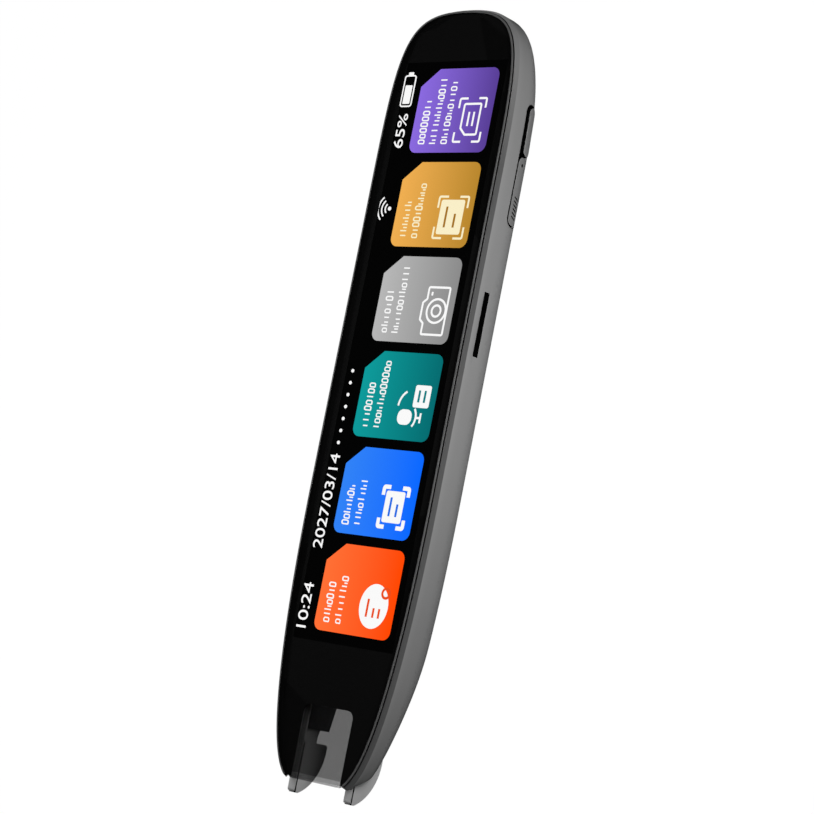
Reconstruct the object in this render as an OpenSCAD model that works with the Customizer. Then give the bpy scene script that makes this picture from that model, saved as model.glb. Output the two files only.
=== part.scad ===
// Handheld scanning translator pen, lying on its back.
// +Z runs from the back to the cover glass, +Y from the scanning nose to the crown,
// and +X points to the side that carries the power button and the card slot.
// The origin is on the back plane, in the middle of the overall length.

/* [Housing] */
// Length of the housing from crown to nose
body_len = 150.4; // [140:0.1:165]
// Width of the housing at its front edge
rim_w = 30.5; // [29:0.1:34]
// Thickness from the back to the face of the cover glass
body_t = 11.9; // [11.5:0.1:14]
// How far the side walls stand out past the front edge
flare = 0.65; // [0.4:0.05:0.75]
// Depth of the front edge's slanted band
band_h = 1.33; // [1.1:0.01:1.5]
// Wall of the back shell
wall = 1.2; // [0.9:0.1:1.5]
// Height of the long corner between side and back
corner_deep = 6.9; // [6:0.1:7.3]
// Width of the long corner between side and back
corner_side = 6.2; // [5:0.1:8]
// Length of the rounding between crown and back
corner_end = 9.9; // [8:0.1:12]

/* [Outline] */
// Length of the curved crown, down to the straight sides
crown_reach = 46.1; // [40:0.1:52]
// Half width that the crown's curve aims for before it turns
crown_handle = 16.6; // [12:0.1:18]
// Pull of the straight sides on the crown's curve
shoulder_handle = 38.1; // [30:0.1:42]
// Length of the narrowing nose, from the straight sides
nose_reach = 55.9; // [50:0.1:62]
// Pull of the straight sides on the nose's curve
flank_handle = 24.9; // [18:0.1:30]
// Width of the flat end of the nose
nose_w = 12.4; // [11:0.1:14]
// Sideways pull of the nose's end on its curve
nose_handle = 7.4; // [5:0.1:9]
// Upward pull of the nose's end on its curve
nose_rise = 2.6; // [1.5:0.1:4]
// Share of the thickness that the nose loses at its end
nose_thin = 0.37; // [0.2:0.01:0.42]
// Length of the nose's slope on the back
nose_slope = 28.6; // [24:0.1:34]
// Share of the thickness that the crown loses at its end
crown_thin = 0.19; // [0.1:0.01:0.25]
// Length of the crown's slope on the back
crown_slope = 21.5; // [16:0.1:26]

/* [Glass and bezel] */
// Width of the bezel's line round the glass
bezel_line = 0.31; // [0.25:0.01:0.45]
// Height of the bezel's rim above its groove
rim_h = 0.12; // [0.1:0.01:0.2]
// Height of the groove round the bezel
groove_h = 0.26; // [0.15:0.01:0.3]
// Distance from the front edge to the bottom of the groove
groove_in = 0.1; // [0.05:0.01:0.15]
// Thickness of the bezel's skirt inside the shell
skirt_t = 0.4; // [0.3:0.05:0.6]
// Height of the bezel's ledge under the glass
ledge_h = 0.9; // [0.8:0.05:1]
// Thickness of the cover glass
glass_t = 0.8; // [0.6:0.05:1]
// How far the glass stands proud of the bezel
glass_proud = 0.1; // [0.05:0.05:0.2]
// Thickness of the printed film behind the glass
film_t = 0.1; // [0.05:0.01:0.15]
// Gap between the glass and the bezel
glass_gap = 0.05; // [0.03:0.01:0.1]

/* [Display] */
// Distance from the housing's front edge to the lit display area
screen_side = 2.6; // [2.4:0.05:4]
// Distance from the crown to the display area
screen_drop = 10.45; // [9.5:0.05:12]
// Dead border of the display panel
panel_border = 0.4; // [0.2:0.05:0.6]
// Thickness of the display panel
panel_t = 1; // [0.7:0.05:1.2]
// Thickness of the backlight
backlight_t = 0.8; // [0.6:0.05:1]

/* [Inner frame and board] */
// Thickness of the inner frame's plate
chassis_t = 0.8; // [0.6:0.05:1]
// Gap between the inner frame and the shell
chassis_gap = 0.3; // [0.2:0.05:0.4]
// Gap between the inner frame and the main board
board_drop = 1; // [0.8:0.05:1.1]
// Thickness of the main board
board_t = 0.8; // [0.6:0.05:1]
// Gap between the main board and the wall behind the side pocket
board_gap = 0.27; // [0.2:0.01:0.6]
// Length of the main board
board_len = 65.5; // [63:0.1:67]
// Gap between the main board's end and the shell's inner crown
board_end_gap = 3.4; // [2.8:0.1:4]
// Screw radius of the inner frame's and the board's screws
screw_r = 0.7; // [0.6:0.05:0.8]
// Screw head radius
screw_head_r = 1.25; // [1.1:0.05:1.3]
// Screw head height
screw_head_h = 0.5; // [0.4:0.05:0.6]
// Radius of the shell's screw bosses
boss_r = 1.9; // [1.7:0.05:2]
// Radius of the posts that carry the main board
post_r = 1.4; // [1.2:0.05:1.5]

/* [Battery] */
// Distance from the plain side wall to the battery
battery_side = 5.25; // [5.1:0.05:6.5]
// Gap between the battery and the nose screws' bosses
battery_gap = 2.4; // [1:0.1:4]
// Gap between the battery and the main board
battery_board_gap = 2; // [1.8:0.1:3]
// Battery thickness
battery_t = 5.1; // [4:0.1:5.2]
// Thickness of the battery's adhesive pad
pad_t = 0.3; // [0.2:0.05:0.4]

/* [Side panel and button] */
// Distance from the crown to the pocket's upper end
pocket_drop = 17.6; // [17:0.1:19]
// Length of the pocket in the side wall
pocket_len = 24; // [23:0.1:25]
// Height of the pocket's middle over the back
pocket_z = 4.55; // [4.4:0.05:4.8]
// Width of the pocket across the side wall
pocket_w = 4.3; // [4:0.05:4.5]
// Corner radius of the pocket
pocket_r = 1.7; // [1:0.05:1.9]
// Gap round the side panel
panel_gap = 0.35; // [0.2:0.01:0.4]
// Gap between the side panel and the power button
button_panel_gap = 0.2; // [0.1:0.01:0.3]
// Length of the power button
button_len = 9.8; // [8.5:0.1:10.5]
// Gap between the button and the pocket's front edge
button_gap = 1; // [0.8:0.05:1.1]
// How far the button stands proud of the side wall
button_proud = 0.25; // [0.15:0.05:0.4]
// Travel of the power button
button_travel = 0.35; // [0.2:0.05:0.4]
// Radius of the button's stem
stem_r = 0.8; // [0.6:0.05:0.9]
// Depth of the pocket's seat below the side wall
seat_depth = 2.15; // [2:0.05:2.4]
// Thickness of the wall behind the pocket
seat_t = 1; // [0.8:0.05:1.2]
// Radius of the microphone hole
mic_hole_r = 0.35; // [0.25:0.05:0.45]
// Distance from the pocket's lower end to the microphone hole
mic_up = 12.1; // [11.6:0.1:12.4]
// Number of the sound slots
slot_count = 6; // [3:1:7]
// Distance between the sound slots
slot_pitch = 0.75; // [0.65:0.05:0.8]
// Width of a sound slot
slot_w = 0.35; // [0.25:0.05:0.45]
// Length of a sound slot
slot_len = 1.8; // [1.4:0.1:2.2]
// Slant of the sound slots
slot_slant = 12.7; // [0:0.1:20]
// Distance from the pocket's lower end to the first sound slot
slot_up = 1.9; // [1.6:0.1:2.4]

/* [Card slot and charging port] */
// Width of the card slot along the side
card_w = 12.4; // [12:0.1:12.8]
// Height of the card slot
card_h = 1.5; // [1.3:0.05:1.5]
// Distance from the crown to the card slot's upper end
card_drop = 55.1; // [53:0.1:57]
// Length of the card socket into the housing
card_depth = 14.5; // [13:0.1:15]
// Outer width of the charging receptacle
usb_w = 8.9; // [8.8:0.05:9]
// Outer height of the charging receptacle
usb_h = 3.2; // [3.1:0.05:3.3]
// Length of the charging receptacle
usb_len = 7.4; // [7:0.1:8]
// Distance from the crown to the receptacle's mouth
usb_set = 1.6; // [1.4:0.05:1.8]
// Gap round the receptacle in the shell
usb_gap = 0.15; // [0.1:0.01:0.2]

/* [Scanning nose] */
// How far the guide's fins reach past the nose
tip_out = 2.3; // [1.8:0.1:2.6]
// Width of the scanning mouth between the fins
mouth_w = 12.5; // [11.6:0.1:12.8]
// Height of the mouth from the nose
mouth_len = 16.45; // [16:0.05:17]
// Length of the smoked window from the nose
window_len = 14.5; // [13:0.1:14.8]
// Thickness of a fin
fin_t = 1.7; // [1.5:0.05:1.9]
// Thickness of the arm that carries a fin
arm_t = 1; // [0.8:0.05:1]
// Depth of the arm from front to back
arm_d = 4.4; // [4:0.1:4.8]
// Thickness of the strip along an arm's front
strip_t = 0.35; // [0.3:0.05:0.5]
// Distance from the nose to a fin's upper edge
fin_top_up = 7.35; // [7.1:0.05:7.6]
// Radius of a fin's rear edge
fin_r = 9.1; // [8.8:0.1:9.6]
// Distance from a fin's upper edge to its deepest place
fin_back = 1.2; // [1.1:0.1:1.5]
// Depth of a fin at its deepest place, below the glass's face
fin_depth = 9.4; // [9:0.1:9.8]
// Rounding of a fin's corners
fin_round = 0.7; // [0.4:0.05:0.9]
// Travel of the scanning guide
guide_travel = 1.2; // [0.8:0.1:1.5]
// Gap round the moving guide
guide_gap = 0.2; // [0.15:0.05:0.3]
// Gap between the fins and the film behind the glass
guide_front_gap = 1.65; // [1.4:0.05:1.8]
// Gap between the yoke and the film behind the glass
yoke_front_gap = 0.3; // [0.2:0.05:0.4]
// Gap between an arm's strip and the chamber's cheek below it
strip_gap = 0.3; // [0.2:0.05:0.4]
// Thickness of the chamber's side cheeks
cheek_t = 0.55; // [0.4:0.05:0.6]
// Thickness of the chamber's rear wall
bulkhead_t = 0.8; // [0.6:0.05:1]
// Distance from the chamber's rear wall to the guide's yoke
yoke_back = 2.3; // [1.8:0.1:2.8]
// Width of the yoke along the pen
yoke_len = 1.6; // [1.4:0.1:2]
// Height of the yoke
yoke_h = 1; // [0.9:0.05:1.2]
// Slope of the shell's cut end, along the length for each unit of depth
cut_slope = 0.76; // [0.6:0.01:0.9]
// Depth at which the shell's cut end starts
cut_depth = 2; // [1.6:0.1:2.4]
// Radius of the camera lens
lens_r = 2.2; // [1.8:0.05:2.4]
// Width and height of the camera module
camera_w = 6; // [5.4:0.1:6.2]
// Length of the camera module
camera_len = 4.6; // [4:0.1:5]
// Length of a return spring at rest
spring_len = 3.3; // [3:0.1:3.6]
// Radius of a return spring to the wire's middle
spring_r = 0.6; // [0.5:0.05:0.65]
// Wire radius of a return spring
spring_wire = 0.1; // [0.08:0.01:0.12]
// Thickness of the lug behind a return spring
lug_t = 0.75; // [0.6:0.05:1]
// Gap between the lugs and the display's flex
lug_gap = 0.25; // [0.2:0.05:0.5]

/* [Hidden] */
$fn = 48;

eps = 0.01;
slop = 1;
far = 200;
curve_steps = 14;
corner_steps = 6;
fit = 0.05;

// Lengths along Y
crown_y = (body_len + tip_out) / 2;
nose_y = crown_y - body_len;
tip_y = -crown_y;
rim_top = crown_y - flare;
half_w = rim_w / 2;
waist_top = rim_top - crown_reach;
waist_low = nose_y + nose_reach;
mouth_top = nose_y + mouth_len;
yoke_low = mouth_top + bulkhead_t + yoke_back;
yoke_top = yoke_low + yoke_len;
lug_y = yoke_top + spring_len;
flex_t = 0.15;
flex_fold_y = lug_y + lug_t + lug_gap;
screen_w = rim_w - 2 * screen_side;
screen_top = crown_y - screen_drop;
screen_low = flex_fold_y + 2 * flex_t + panel_border;
window_top = nose_y + window_len;
pocket_top = crown_y - pocket_drop;
pocket_low = pocket_top - pocket_len;
card_top = crown_y - card_drop;
card_low = card_top - card_w;
board_top = crown_y - wall - board_end_gap;
board_low = board_top - board_len;
usb_y = crown_y - usb_set;

// Heights along Z, from the glass down
rim_z = body_t - glass_proud;
glass_z = body_t - glass_t;
film_z = glass_z - film_t;
ledge_z = film_z - ledge_h;
panel_z = film_z - panel_t;
backlight_z = panel_z - backlight_t;
chassis_z = backlight_z - chassis_t;
board_z = chassis_z - board_drop - board_t;
board_face = board_z + board_t;
crease = glass_proud + band_h;
crease_z = body_t - crease;
groove_top = rim_z - rim_h;
corner_start = body_t - corner_deep;
guide_front = film_z - guide_front_gap;
arm_low = guide_front - arm_d;
yoke_front = film_z - yoke_front_gap;

// Insets from the front edge's outline
glass_inset = bezel_line + glass_gap;
inner_inset = wall - flare;
ledge_inset = inner_inset + fit + skirt_t;

// Front edge's outline
nose_half = nose_w / 2;
function bezier(a, b, c, d) = [
    for (i = [0:curve_steps])
        let (t = i / curve_steps, s = 1 - t)
            s * s * s * a + 3 * s * s * t * b + 3 * s * t * t * c + t * t * t * d
];
crown_curve = bezier(
    [0, rim_top], [crown_handle, rim_top],
    [half_w, waist_top + shoulder_handle], [half_w, waist_top]);
nose_curve = bezier(
    [half_w, waist_low], [half_w, waist_low - flank_handle],
    [nose_half + nose_handle, nose_y + nose_rise], [nose_half, nose_y]);
right_side = concat(crown_curve, nose_curve);
side_n = len(right_side);
outline_points = concat(
    right_side,
    [for (i = [side_n - 1:-1:1]) [-right_side[i].x, right_side[i].y]]);
ring_n = len(outline_points);

// Share of the full thickness that is left at a place along the length
function smooth_step(u) = let (v = max(0, min(1, u))) v * v * (3 - 2 * v);
function fullness(y) =
    1 - nose_thin * smooth_step((nose_y + nose_slope - y) / nose_slope)
    - crown_thin * smooth_step((y - crown_y + crown_slope) / crown_slope);
function sunk(depth, y) =
    body_t - (depth <= crease ? depth : crease + (depth - crease) * fullness(y));
function back_z(y) = sunk(body_t, y);

// One level of the housing: the outline, grown by the flare or pulled in round the back's corner
function level(depth, grow, pull, inset) =
    let (
        side = half_w + grow - inset - pull * (corner_side - inset),
        crown = rim_top + grow - inset - pull * (corner_end - inset),
        nose = -nose_y + grow - inset - pull * (corner_end - inset)
    ) [
        for (p = outline_points)
            let (
                x = p.x * side / half_w,
                y = p.y > 0 ? p.y * crown / rim_top : p.y * nose / -nose_y
            ) [x, y, sunk(depth, y)]
    ];

// The levels from the front edge to the back, inset by a wall
function levels(inset, top_depth, grow_top) = concat(
    [level(top_depth, grow_top, 0, inset)],
    top_depth < crease ? [level(crease, flare, 0, inset)] : [],
    [level(corner_start, flare, 0, inset)],
    [for (i = [1:corner_steps])
        let (a = 90 * i / corner_steps)
            level(corner_start + (corner_deep - inset) * sin(a), flare, 1 - cos(a), inset)]);

function mirror_of(i) = i == 0 ? 0 : ring_n - i;

module loft(rings) {
    n = len(rings);
    last = (n - 1) * ring_n;
    polyhedron(
        points = [for (r = rings) each r],
        faces = concat(
            [[for (j = [0:ring_n - 1]) j]],
            [for (k = [0:n - 2]) for (j = [0:ring_n - 1])
                let (m = (j + 1) % ring_n, a = k * ring_n, b = a + ring_n)
                    each [[a + j, b + j, b + m], [a + j, b + m, a + m]]],
            [[last, last + mirror_of(1), last + 1]],
            [for (i = [1:side_n - 2])
                let (l = last + mirror_of(i), m = last + mirror_of(i + 1))
                    each [[last + i, l, m], [last + i, m, last + i + 1]]]),
        convexity = 6);
}

// A flat plate with the front edge's outline, inset and between two heights
module outline_plate(inset, z_low, z_high) {
    translate([0, 0, z_low])
        linear_extrude(z_high - z_low)
            offset(delta = -inset) polygon(outline_points);
}

// A flat plate with the outline of the shell's inner wall, less a gap
module inner_plate(gap, z_low, z_high) {
    translate([0, 0, z_low])
        linear_extrude(z_high - z_low)
            polygon([for (p = level(0, flare, 0, wall + gap)) [p.x, p.y]]);
}

module box(x, y, z) {
    translate([x[0], y[0], z[0]]) cube([x[1] - x[0], y[1] - y[0], z[1] - z[0]]);
}

module rounded_rect(w, h, r) {
    hull() for (sx = [-1, 1], sy = [-1, 1])
        translate([sx * (w / 2 - r), sy * (h / 2 - r)]) circle(r = r, $fn = 32);
}

// A profile drawn in (Y, Z), swept along X
module along_x(x0, x1) {
    translate([x0, 0, 0]) rotate([90, 0, 90]) linear_extrude(x1 - x0) children();
}

// A profile drawn in (X, Z), swept along Y
module along_y(y0, y1) {
    translate([0, y1, 0]) rotate([90, 0, 0]) linear_extrude(y1 - y0) children();
}

module both_sides() {
    children();
    mirror([1, 0, 0]) children();
}

// A round tube along points, with its rings square to the path
function unit(v) = v / norm(v);
module tube(points, r, ref, sides = 8) {
    n = len(points);
    rings = [
        for (i = [0:n - 1])
            let (
                t = unit(points[min(i + 1, n - 1)] - points[max(i - 1, 0)]),
                u = unit(cross(t, ref)),
                v = cross(t, u)
            )
            for (j = [0:sides - 1])
                let (a = 360 * j / sides) points[i] + r * (cos(a) * u + sin(a) * v)
    ];
    polyhedron(
        points = rings,
        faces = concat(
            [[for (j = [sides - 1:-1:0]) j]],
            [for (i = [0:n - 2]) for (j = [0:sides - 1])
                let (k = (j + 1) % sides, a = i * sides, b = a + sides)
                    each [[a + j, a + k, b + k], [a + j, b + k, b + j]]],
            [[for (j = [0:sides - 1]) (n - 1) * sides + j]]));
}

// Housing
module housing_form() {
    loft(levels(0, glass_proud, 0));
}

// The side wall's place at a height, on the straight part of the housing
wall_x = half_w + flare;
function side_x(z) =
    let (d = body_t - z, u = max(0, d - corner_start) / corner_deep)
        wall_x - corner_side * (1 - sqrt(1 - u * u));
seat_x = side_x(pocket_z) - seat_depth;
seat_inner = seat_x - seat_t;
button_low = pocket_top - panel_gap - button_len;
button_mid = button_low + button_len / 2;
button_w = pocket_w - panel_gap - button_gap;
button_z = pocket_z - pocket_w / 2 + panel_gap + button_w / 2;
panel_top = button_low - button_panel_gap;
panel_low = pocket_low + panel_gap;
panel_w = pocket_w - 2 * panel_gap;
mic_y = pocket_low + mic_up;
slots_mid = pocket_low + slot_up + (slot_count - 1) * slot_pitch / 2;
speaker_len = 10.6;
speaker_rim = 2;
sound_half = speaker_len / 2 - speaker_rim;
sound_high = 1.3;
block_low = pocket_low - 1.2;
block_top = pocket_top + 1.2;
block_z = pocket_z + pocket_w / 2 + 0.7;

// Arm and fin places
mouth_half = mouth_w / 2;
fin_out = mouth_half + fin_t;
arm_in = fin_out - arm_t;
slot_out = fin_out + guide_gap;
fin_top = nose_y + fin_top_up;
block_end = fin_top + guide_travel + 1.3;
spring_x = mouth_half - 1.1;
spring_z = yoke_front - yoke_h / 2;
strip_end = mouth_top - guide_travel - guide_gap;

// Screw places
screw_room = 0.5;
boss_room = 1.65;
crown_boss = [usb_w / 2 + boss_r + boss_room, screen_top + panel_border + screw_head_r + screw_room];
nose_boss = [slot_out + 1.6, screen_low - panel_border - screw_head_r - screw_room - 0.2];
chassis_bosses = [
    crown_boss, [-crown_boss.x, crown_boss.y],
    nose_boss, [-nose_boss.x, nose_boss.y]];
board_w = 2 * (seat_inner - board_gap);
post_in = 1.7;
post_card_gap = 3;
post_low_gap = 2.4;
post_crown_gap = 11;
board_posts = [
    [-board_w / 2 + post_in, board_low + post_low_gap],
    [board_w / 2 - post_in, card_top + post_card_gap],
    [-board_w / 2 + post_in, board_top - post_crown_gap],
    [board_w / 2 - post_in, board_top - post_crown_gap]];

module chassis_screw_cuts() {
    for (p = chassis_bosses)
        translate([p.x, p.y, backlight_z - chassis_screw_len - chassis_gap])
            cylinder(r = screw_r, h = chassis_screw_len + slop);
}

module shell_hollow() {
    difference() {
        loft(levels(wall, glass_proud, flare));
        for (p = chassis_bosses)
            translate([p.x, p.y, -slop]) cylinder(r = boss_r, h = chassis_z + slop);
        box([seat_inner, far], [block_low, block_top], [-slop, block_z]);
        box([-far, far], [-far, mouth_top], [-slop, body_t + slop]);
    }
}

module nose_cuts() {
    box([-mouth_half - cheek_t, mouth_half + cheek_t],
        [-far, mouth_top + bulkhead_t], [-slop, body_t + slop]);
    box([-slot_out, slot_out], [-far, mouth_top + slop],
        [arm_low - guide_gap, body_t + slop]);
    box([-slot_out, slot_out], [-far, block_end], [-slop, body_t + slop]);
    along_x(-far, far)
        polygon([
            [-far, -slop], [-far, body_t - cut_depth],
            [nose_y + cut_depth * cut_slope - 0.4, body_t - cut_depth],
            [nose_y + (body_t + slop) * cut_slope - 0.4, -slop]]);
}

module pocket_shape(low, top, w, z) {
    translate([(low + top) / 2, z]) rounded_rect(top - low, w, min(pocket_r, w / 2 - fit));
}

module back_shell() {
    color("#555555") difference() {
        housing_form();
        shell_hollow();
        box([-far, far], [-far, far], [crease_z, body_t + slop]);
        nose_cuts();
        chassis_screw_cuts();
        // Card slot
        box([half_w - wall - slop, far], [card_low, card_top],
            [board_face, board_face + card_h]);
        // Charging port
        along_y(usb_y - usb_len, far)
            translate([0, usb_z])
                rounded_rect(usb_w + 2 * usb_gap, usb_h + 2 * usb_gap, usb_h / 2);
        // Pocket of the side panel and the button, and the holes behind it
        along_x(seat_x, far) pocket_shape(pocket_low, pocket_top, pocket_w, pocket_z);
        box([seat_inner - slop, seat_x + slop],
            [slots_mid - sound_half, slots_mid + sound_half],
            [pocket_z - sound_high, pocket_z + sound_high]);
        translate([seat_inner - slop, mic_y, pocket_z + 0.3]) rotate([0, 90, 0])
            cylinder(r = mic_hole_r, h = seat_t + 2 * slop);
        translate([seat_inner - slop, button_mid, button_z]) rotate([0, 90, 0])
            cylinder(r = stem_r + fit, h = seat_t + 2 * slop);
    }
}

// The bezel's band runs this far past the mouth's corners
bezel_end = 0.6;
module groove() {
    difference() {
        outline_plate(-slop, groove_top - groove_h, groove_top);
        outline_plate(groove_in, groove_top - groove_h - slop, groove_top + slop);
    }
}

module front_bezel() {
    color("#585858") difference() {
        union() {
            intersection() {
                housing_form();
                box([-far, far], [-far, far], [crease_z, body_t]);
            }
            inner_plate(fit, ledge_z, crease_z + eps);
        }
        groove();
        outline_plate(ledge_inset, ledge_z - slop, film_z + slop);
        outline_plate(bezel_line, film_z, body_t + slop);
        box([-far, far], [-far, mouth_top], [ledge_z - slop, crease_z]);
        box([-slot_out, slot_out], [-far, mouth_top], [crease_z - slop, film_z]);
        box([-mouth_half - bezel_end, mouth_half + bezel_end], [-far, mouth_top],
            [ledge_z - slop, body_t + slop]);
    }
}

module cover_glass() {
    color("#0a0a0a", 0.4) outline_plate(glass_inset, glass_z, body_t);
}

// The smoked window reaches from its rounded top past the end of the glass
window_r = 1.5;
window_over = 4;
module window_shape(gap) {
    offset(delta = -gap)
        translate([0, (window_top + nose_y - window_over) / 2])
            rounded_rect(mouth_w, window_top - nose_y + window_over, window_r);
}

film_edge = 0.3;
module border_film() {
    color("#080808") difference() {
        outline_plate(glass_inset, film_z, glass_z);
        intersection() {
            outline_plate(glass_inset + film_edge, film_z - slop, glass_z + slop);
            box([-screen_w / 2, screen_w / 2], [screen_low, screen_top],
                [film_z - 2 * slop, glass_z + 2 * slop]);
        }
        translate([0, 0, film_z - slop]) linear_extrude(film_t + 2 * slop) window_shape(0);
    }
}

module window_tint() {
    color("#303030", 0.6) intersection() {
        outline_plate(glass_inset, film_z, glass_z);
        translate([0, 0, film_z - slop]) linear_extrude(film_t + 2 * slop) window_shape(fit);
    }
}

// Display
module lcd_panel() {
    color("#101014") intersection() {
        outline_plate(ledge_inset + fit, panel_z, film_z);
        box([-screen_w / 2 - panel_border, screen_w / 2 + panel_border],
            [screen_low - panel_border, screen_top + panel_border],
            [panel_z - slop, body_t]);
    }
}

module backlight() {
    color("#d8d8d8") intersection() {
        outline_plate(ledge_inset + 2 * fit, backlight_z, panel_z);
        box([-screen_w / 2, screen_w / 2],
            [screen_low + panel_border, screen_top],
            [backlight_z - slop, body_t]);
    }
}

display_flex_in = 3.7;
display_flex_w = 6;
display_flex_up = 4;
flex_edge = display_flex_in - board_w / 2;
display_flex_x = [flex_edge, flex_edge + display_flex_w];
connector_side = 0.5;
connector_len = 3.6;
connector_over = 0.6;
display_flex_z = chassis_z - 2 * flex_t;
flex_end_y = board_low + display_flex_up;
module display_flex() {
    color("#b8651e") {
        box(display_flex_x, [flex_fold_y, screen_low + panel_border],
            [panel_z - flex_t, panel_z]);
        box(display_flex_x, [flex_fold_y, flex_fold_y + flex_t],
            [display_flex_z, panel_z - flex_t]);
        box(display_flex_x, [flex_fold_y, flex_end_y],
            [display_flex_z - flex_t, display_flex_z]);
    }
}

module display_connector() {
    color("#e0dccf") box([display_flex_x[0] - connector_side, display_flex_x[1] + connector_side],
        [flex_end_y + connector_over - connector_len, flex_end_y + connector_over],
        [board_face, display_flex_z - flex_t]);
}

// Inner frame
lug_w = 1.8;
chassis_low = nose_boss.y - screw_head_r - 1.2;
module chassis() {
    color("#9aa0a6") difference() {
        union() {
            intersection() {
                outline_plate(inner_inset + chassis_gap, chassis_z, backlight_z);
                box([-far, far], [chassis_low, far], [chassis_z - slop, body_t]);
            }
            for (p = board_posts)
                translate([p.x, p.y, board_face]) cylinder(r = post_r, h = board_drop + eps);
            both_sides()
                box([spring_x - lug_w / 2, spring_x + lug_w / 2], [lug_y, lug_y + lug_t],
                    [backlight_z - eps, yoke_front]);
        }
        for (p = chassis_bosses)
            translate([p.x, p.y, chassis_z - slop])
                cylinder(r = screw_r + fit, h = chassis_t + 2 * slop);
        for (p = board_posts)
            translate([p.x, p.y, board_face - slop]) cylinder(r = screw_r - fit, h = slop + board_drop);
        box([-slot_out, slot_out], [-far, yoke_top + guide_travel + guide_gap],
            [chassis_z - slop, backlight_z + slop]);
        box([card_out - card_depth - 0.5, far],
            [card_low - socket_side - 0.5, card_top + socket_side + 0.5],
            [chassis_z - slop, backlight_z + slop]);
        box([display_flex_x[0] - 0.4, display_flex_x[1] + 0.4],
            [flex_fold_y - 0.2, flex_fold_y + 2 * flex_t + 0.2],
            [chassis_z - slop, backlight_z + slop]);
    }
}

cross_len = 1.4;
cross_w = 0.26;
module screw(length) {
    cylinder(r = screw_r - 2 * fit, h = length);
    difference() {
        translate([0, 0, length]) cylinder(r = screw_head_r, h = screw_head_h);
        for (a = [0, 90])
            rotate([0, 0, a])
                translate([-cross_len / 2, -cross_w / 2, length + screw_head_h / 2])
                    cube([cross_len, cross_w, slop]);
    }
}

chassis_screw_len = 3.6;
module chassis_screws() {
    color("#b0b4b8") for (p = chassis_bosses)
        translate([p.x, p.y, backlight_z - chassis_screw_len]) screw(chassis_screw_len);
}

// Main board and what it carries
module main_board() {
    color("#1f5a3a") difference() {
        intersection() {
            outline_plate(inner_inset + chassis_gap + 0.9, board_z, board_face);
            box([-board_w / 2, board_w / 2], [board_low, board_top], [board_z - slop, body_t]);
        }
        box([-usb_w / 2 - usb_gap, usb_w / 2 + usb_gap], [usb_y - usb_len - usb_gap, far],
            [board_z - slop, body_t]);
        for (p = board_posts)
            translate([p.x, p.y, board_z - slop])
                cylinder(r = screw_r + fit, h = board_t + 2 * slop);
        for (p = chassis_bosses)
            translate([p.x, p.y, board_z - slop])
                cylinder(r = boss_r + chassis_gap, h = board_t + 2 * slop);
    }
}

board_screw_len = board_t + board_drop - 0.2;
module board_screws() {
    color("#b0b4b8") for (p = board_posts)
        translate([p.x, p.y, board_z]) rotate([180, 0, 0])
            translate([0, 0, -board_screw_len]) screw(board_screw_len);
}

// Chips under the board: their place across, their distance from the board's upper end, and size
processor_at = [-1, 26];
processor_size = [11, 11, 1.2];
memory_at = [-1, 39.5];
memory_size = [9, 8, 0.9];
storage_at = [-1, 50];
storage_size = [8, 9, 1];
left_chips_in = 3.6;
left_chips_x = left_chips_in - board_w / 2;
power_at = [left_chips_x, 37];
power_size = [4, 4, 0.8];
shield_in = 8.8;
shield_down = 14.2;
shield_at = [shield_in - board_w / 2, shield_down];
shield_size = [10.5, 9, 1.6];
shield_hole_r = 0.35;
shield_hole_pitch = [3, 2.4];
coil_at = [left_chips_x, 43];
coil_size = [3, 3, 1.6];
coil_pitch = 4;
coil_r = 0.9;
dimple = 0.3;

module under_board(at) {
    translate([at.x, board_top - at.y, board_z]) mirror([0, 0, 1]) children();
}

module chip(at, size) {
    under_board(at) translate([-size.x / 2, -size.y / 2, 0]) cube(size);
}

module processor() {
    color("#1c1c1e") chip(processor_at, processor_size);
}

module memory_chip() {
    color("#222224") chip(memory_at, memory_size);
}

module storage_chip() {
    color("#26262a") chip(storage_at, storage_size);
}

module power_controller() {
    color("#1a1a1c") chip(power_at, power_size);
}

module wireless_shield() {
    color("#c4c8cc") difference() {
        chip(shield_at, shield_size);
        for (i = [-1, 1], j = [-1, 0, 1])
            under_board(shield_at + [i * shield_hole_pitch.x, j * shield_hole_pitch.y])
                translate([0, 0, shield_size.z - dimple]) cylinder(r = shield_hole_r, h = slop);
    }
}

module board_coils() {
    color("#5a5a60") for (i = [0:2]) difference() {
        chip(coil_at + [0, i * coil_pitch], coil_size);
        under_board(coil_at + [0, i * coil_pitch])
            translate([0, 0, coil_size.z - dimple]) cylinder(r = coil_r, h = slop);
    }
}

antenna_x = -wall_x + wall + 2 * fit;
antenna_t = 0.13;
antenna_len = 20;
antenna_h = 1.6;
antenna_gap = 2;
module antenna() {
    color("#c07a34") box([antenna_x, antenna_x + antenna_t],
        [waist_top - antenna_gap - antenna_len, waist_top - antenna_gap],
        [chassis_z - 2 * fit - antenna_h, chassis_z - 2 * fit]);
}

usb_sink = 0.7;
usb_z = board_face - usb_sink;
usb_t = 0.3;
usb_back_t = 0.6;
tongue_w = 6.6;
tongue_t = 0.7;
tongue_set = 1.1;
module usb_receptacle() {
    color("#b9bdc2") difference() {
        along_y(usb_y - usb_len, usb_y) translate([0, usb_z]) rounded_rect(usb_w, usb_h, usb_h / 2);
        along_y(usb_y - usb_len + usb_back_t, usb_y + slop) translate([0, usb_z])
            rounded_rect(usb_w - 2 * usb_t, usb_h - 2 * usb_t, usb_h / 2 - usb_t);
    }
}

module usb_tongue() {
    color("#151515") box([-tongue_w / 2, tongue_w / 2],
        [usb_y - usb_len + usb_back_t, usb_y - tongue_set],
        [usb_z - tongue_t / 2, usb_z + tongue_t / 2]);
}

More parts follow.
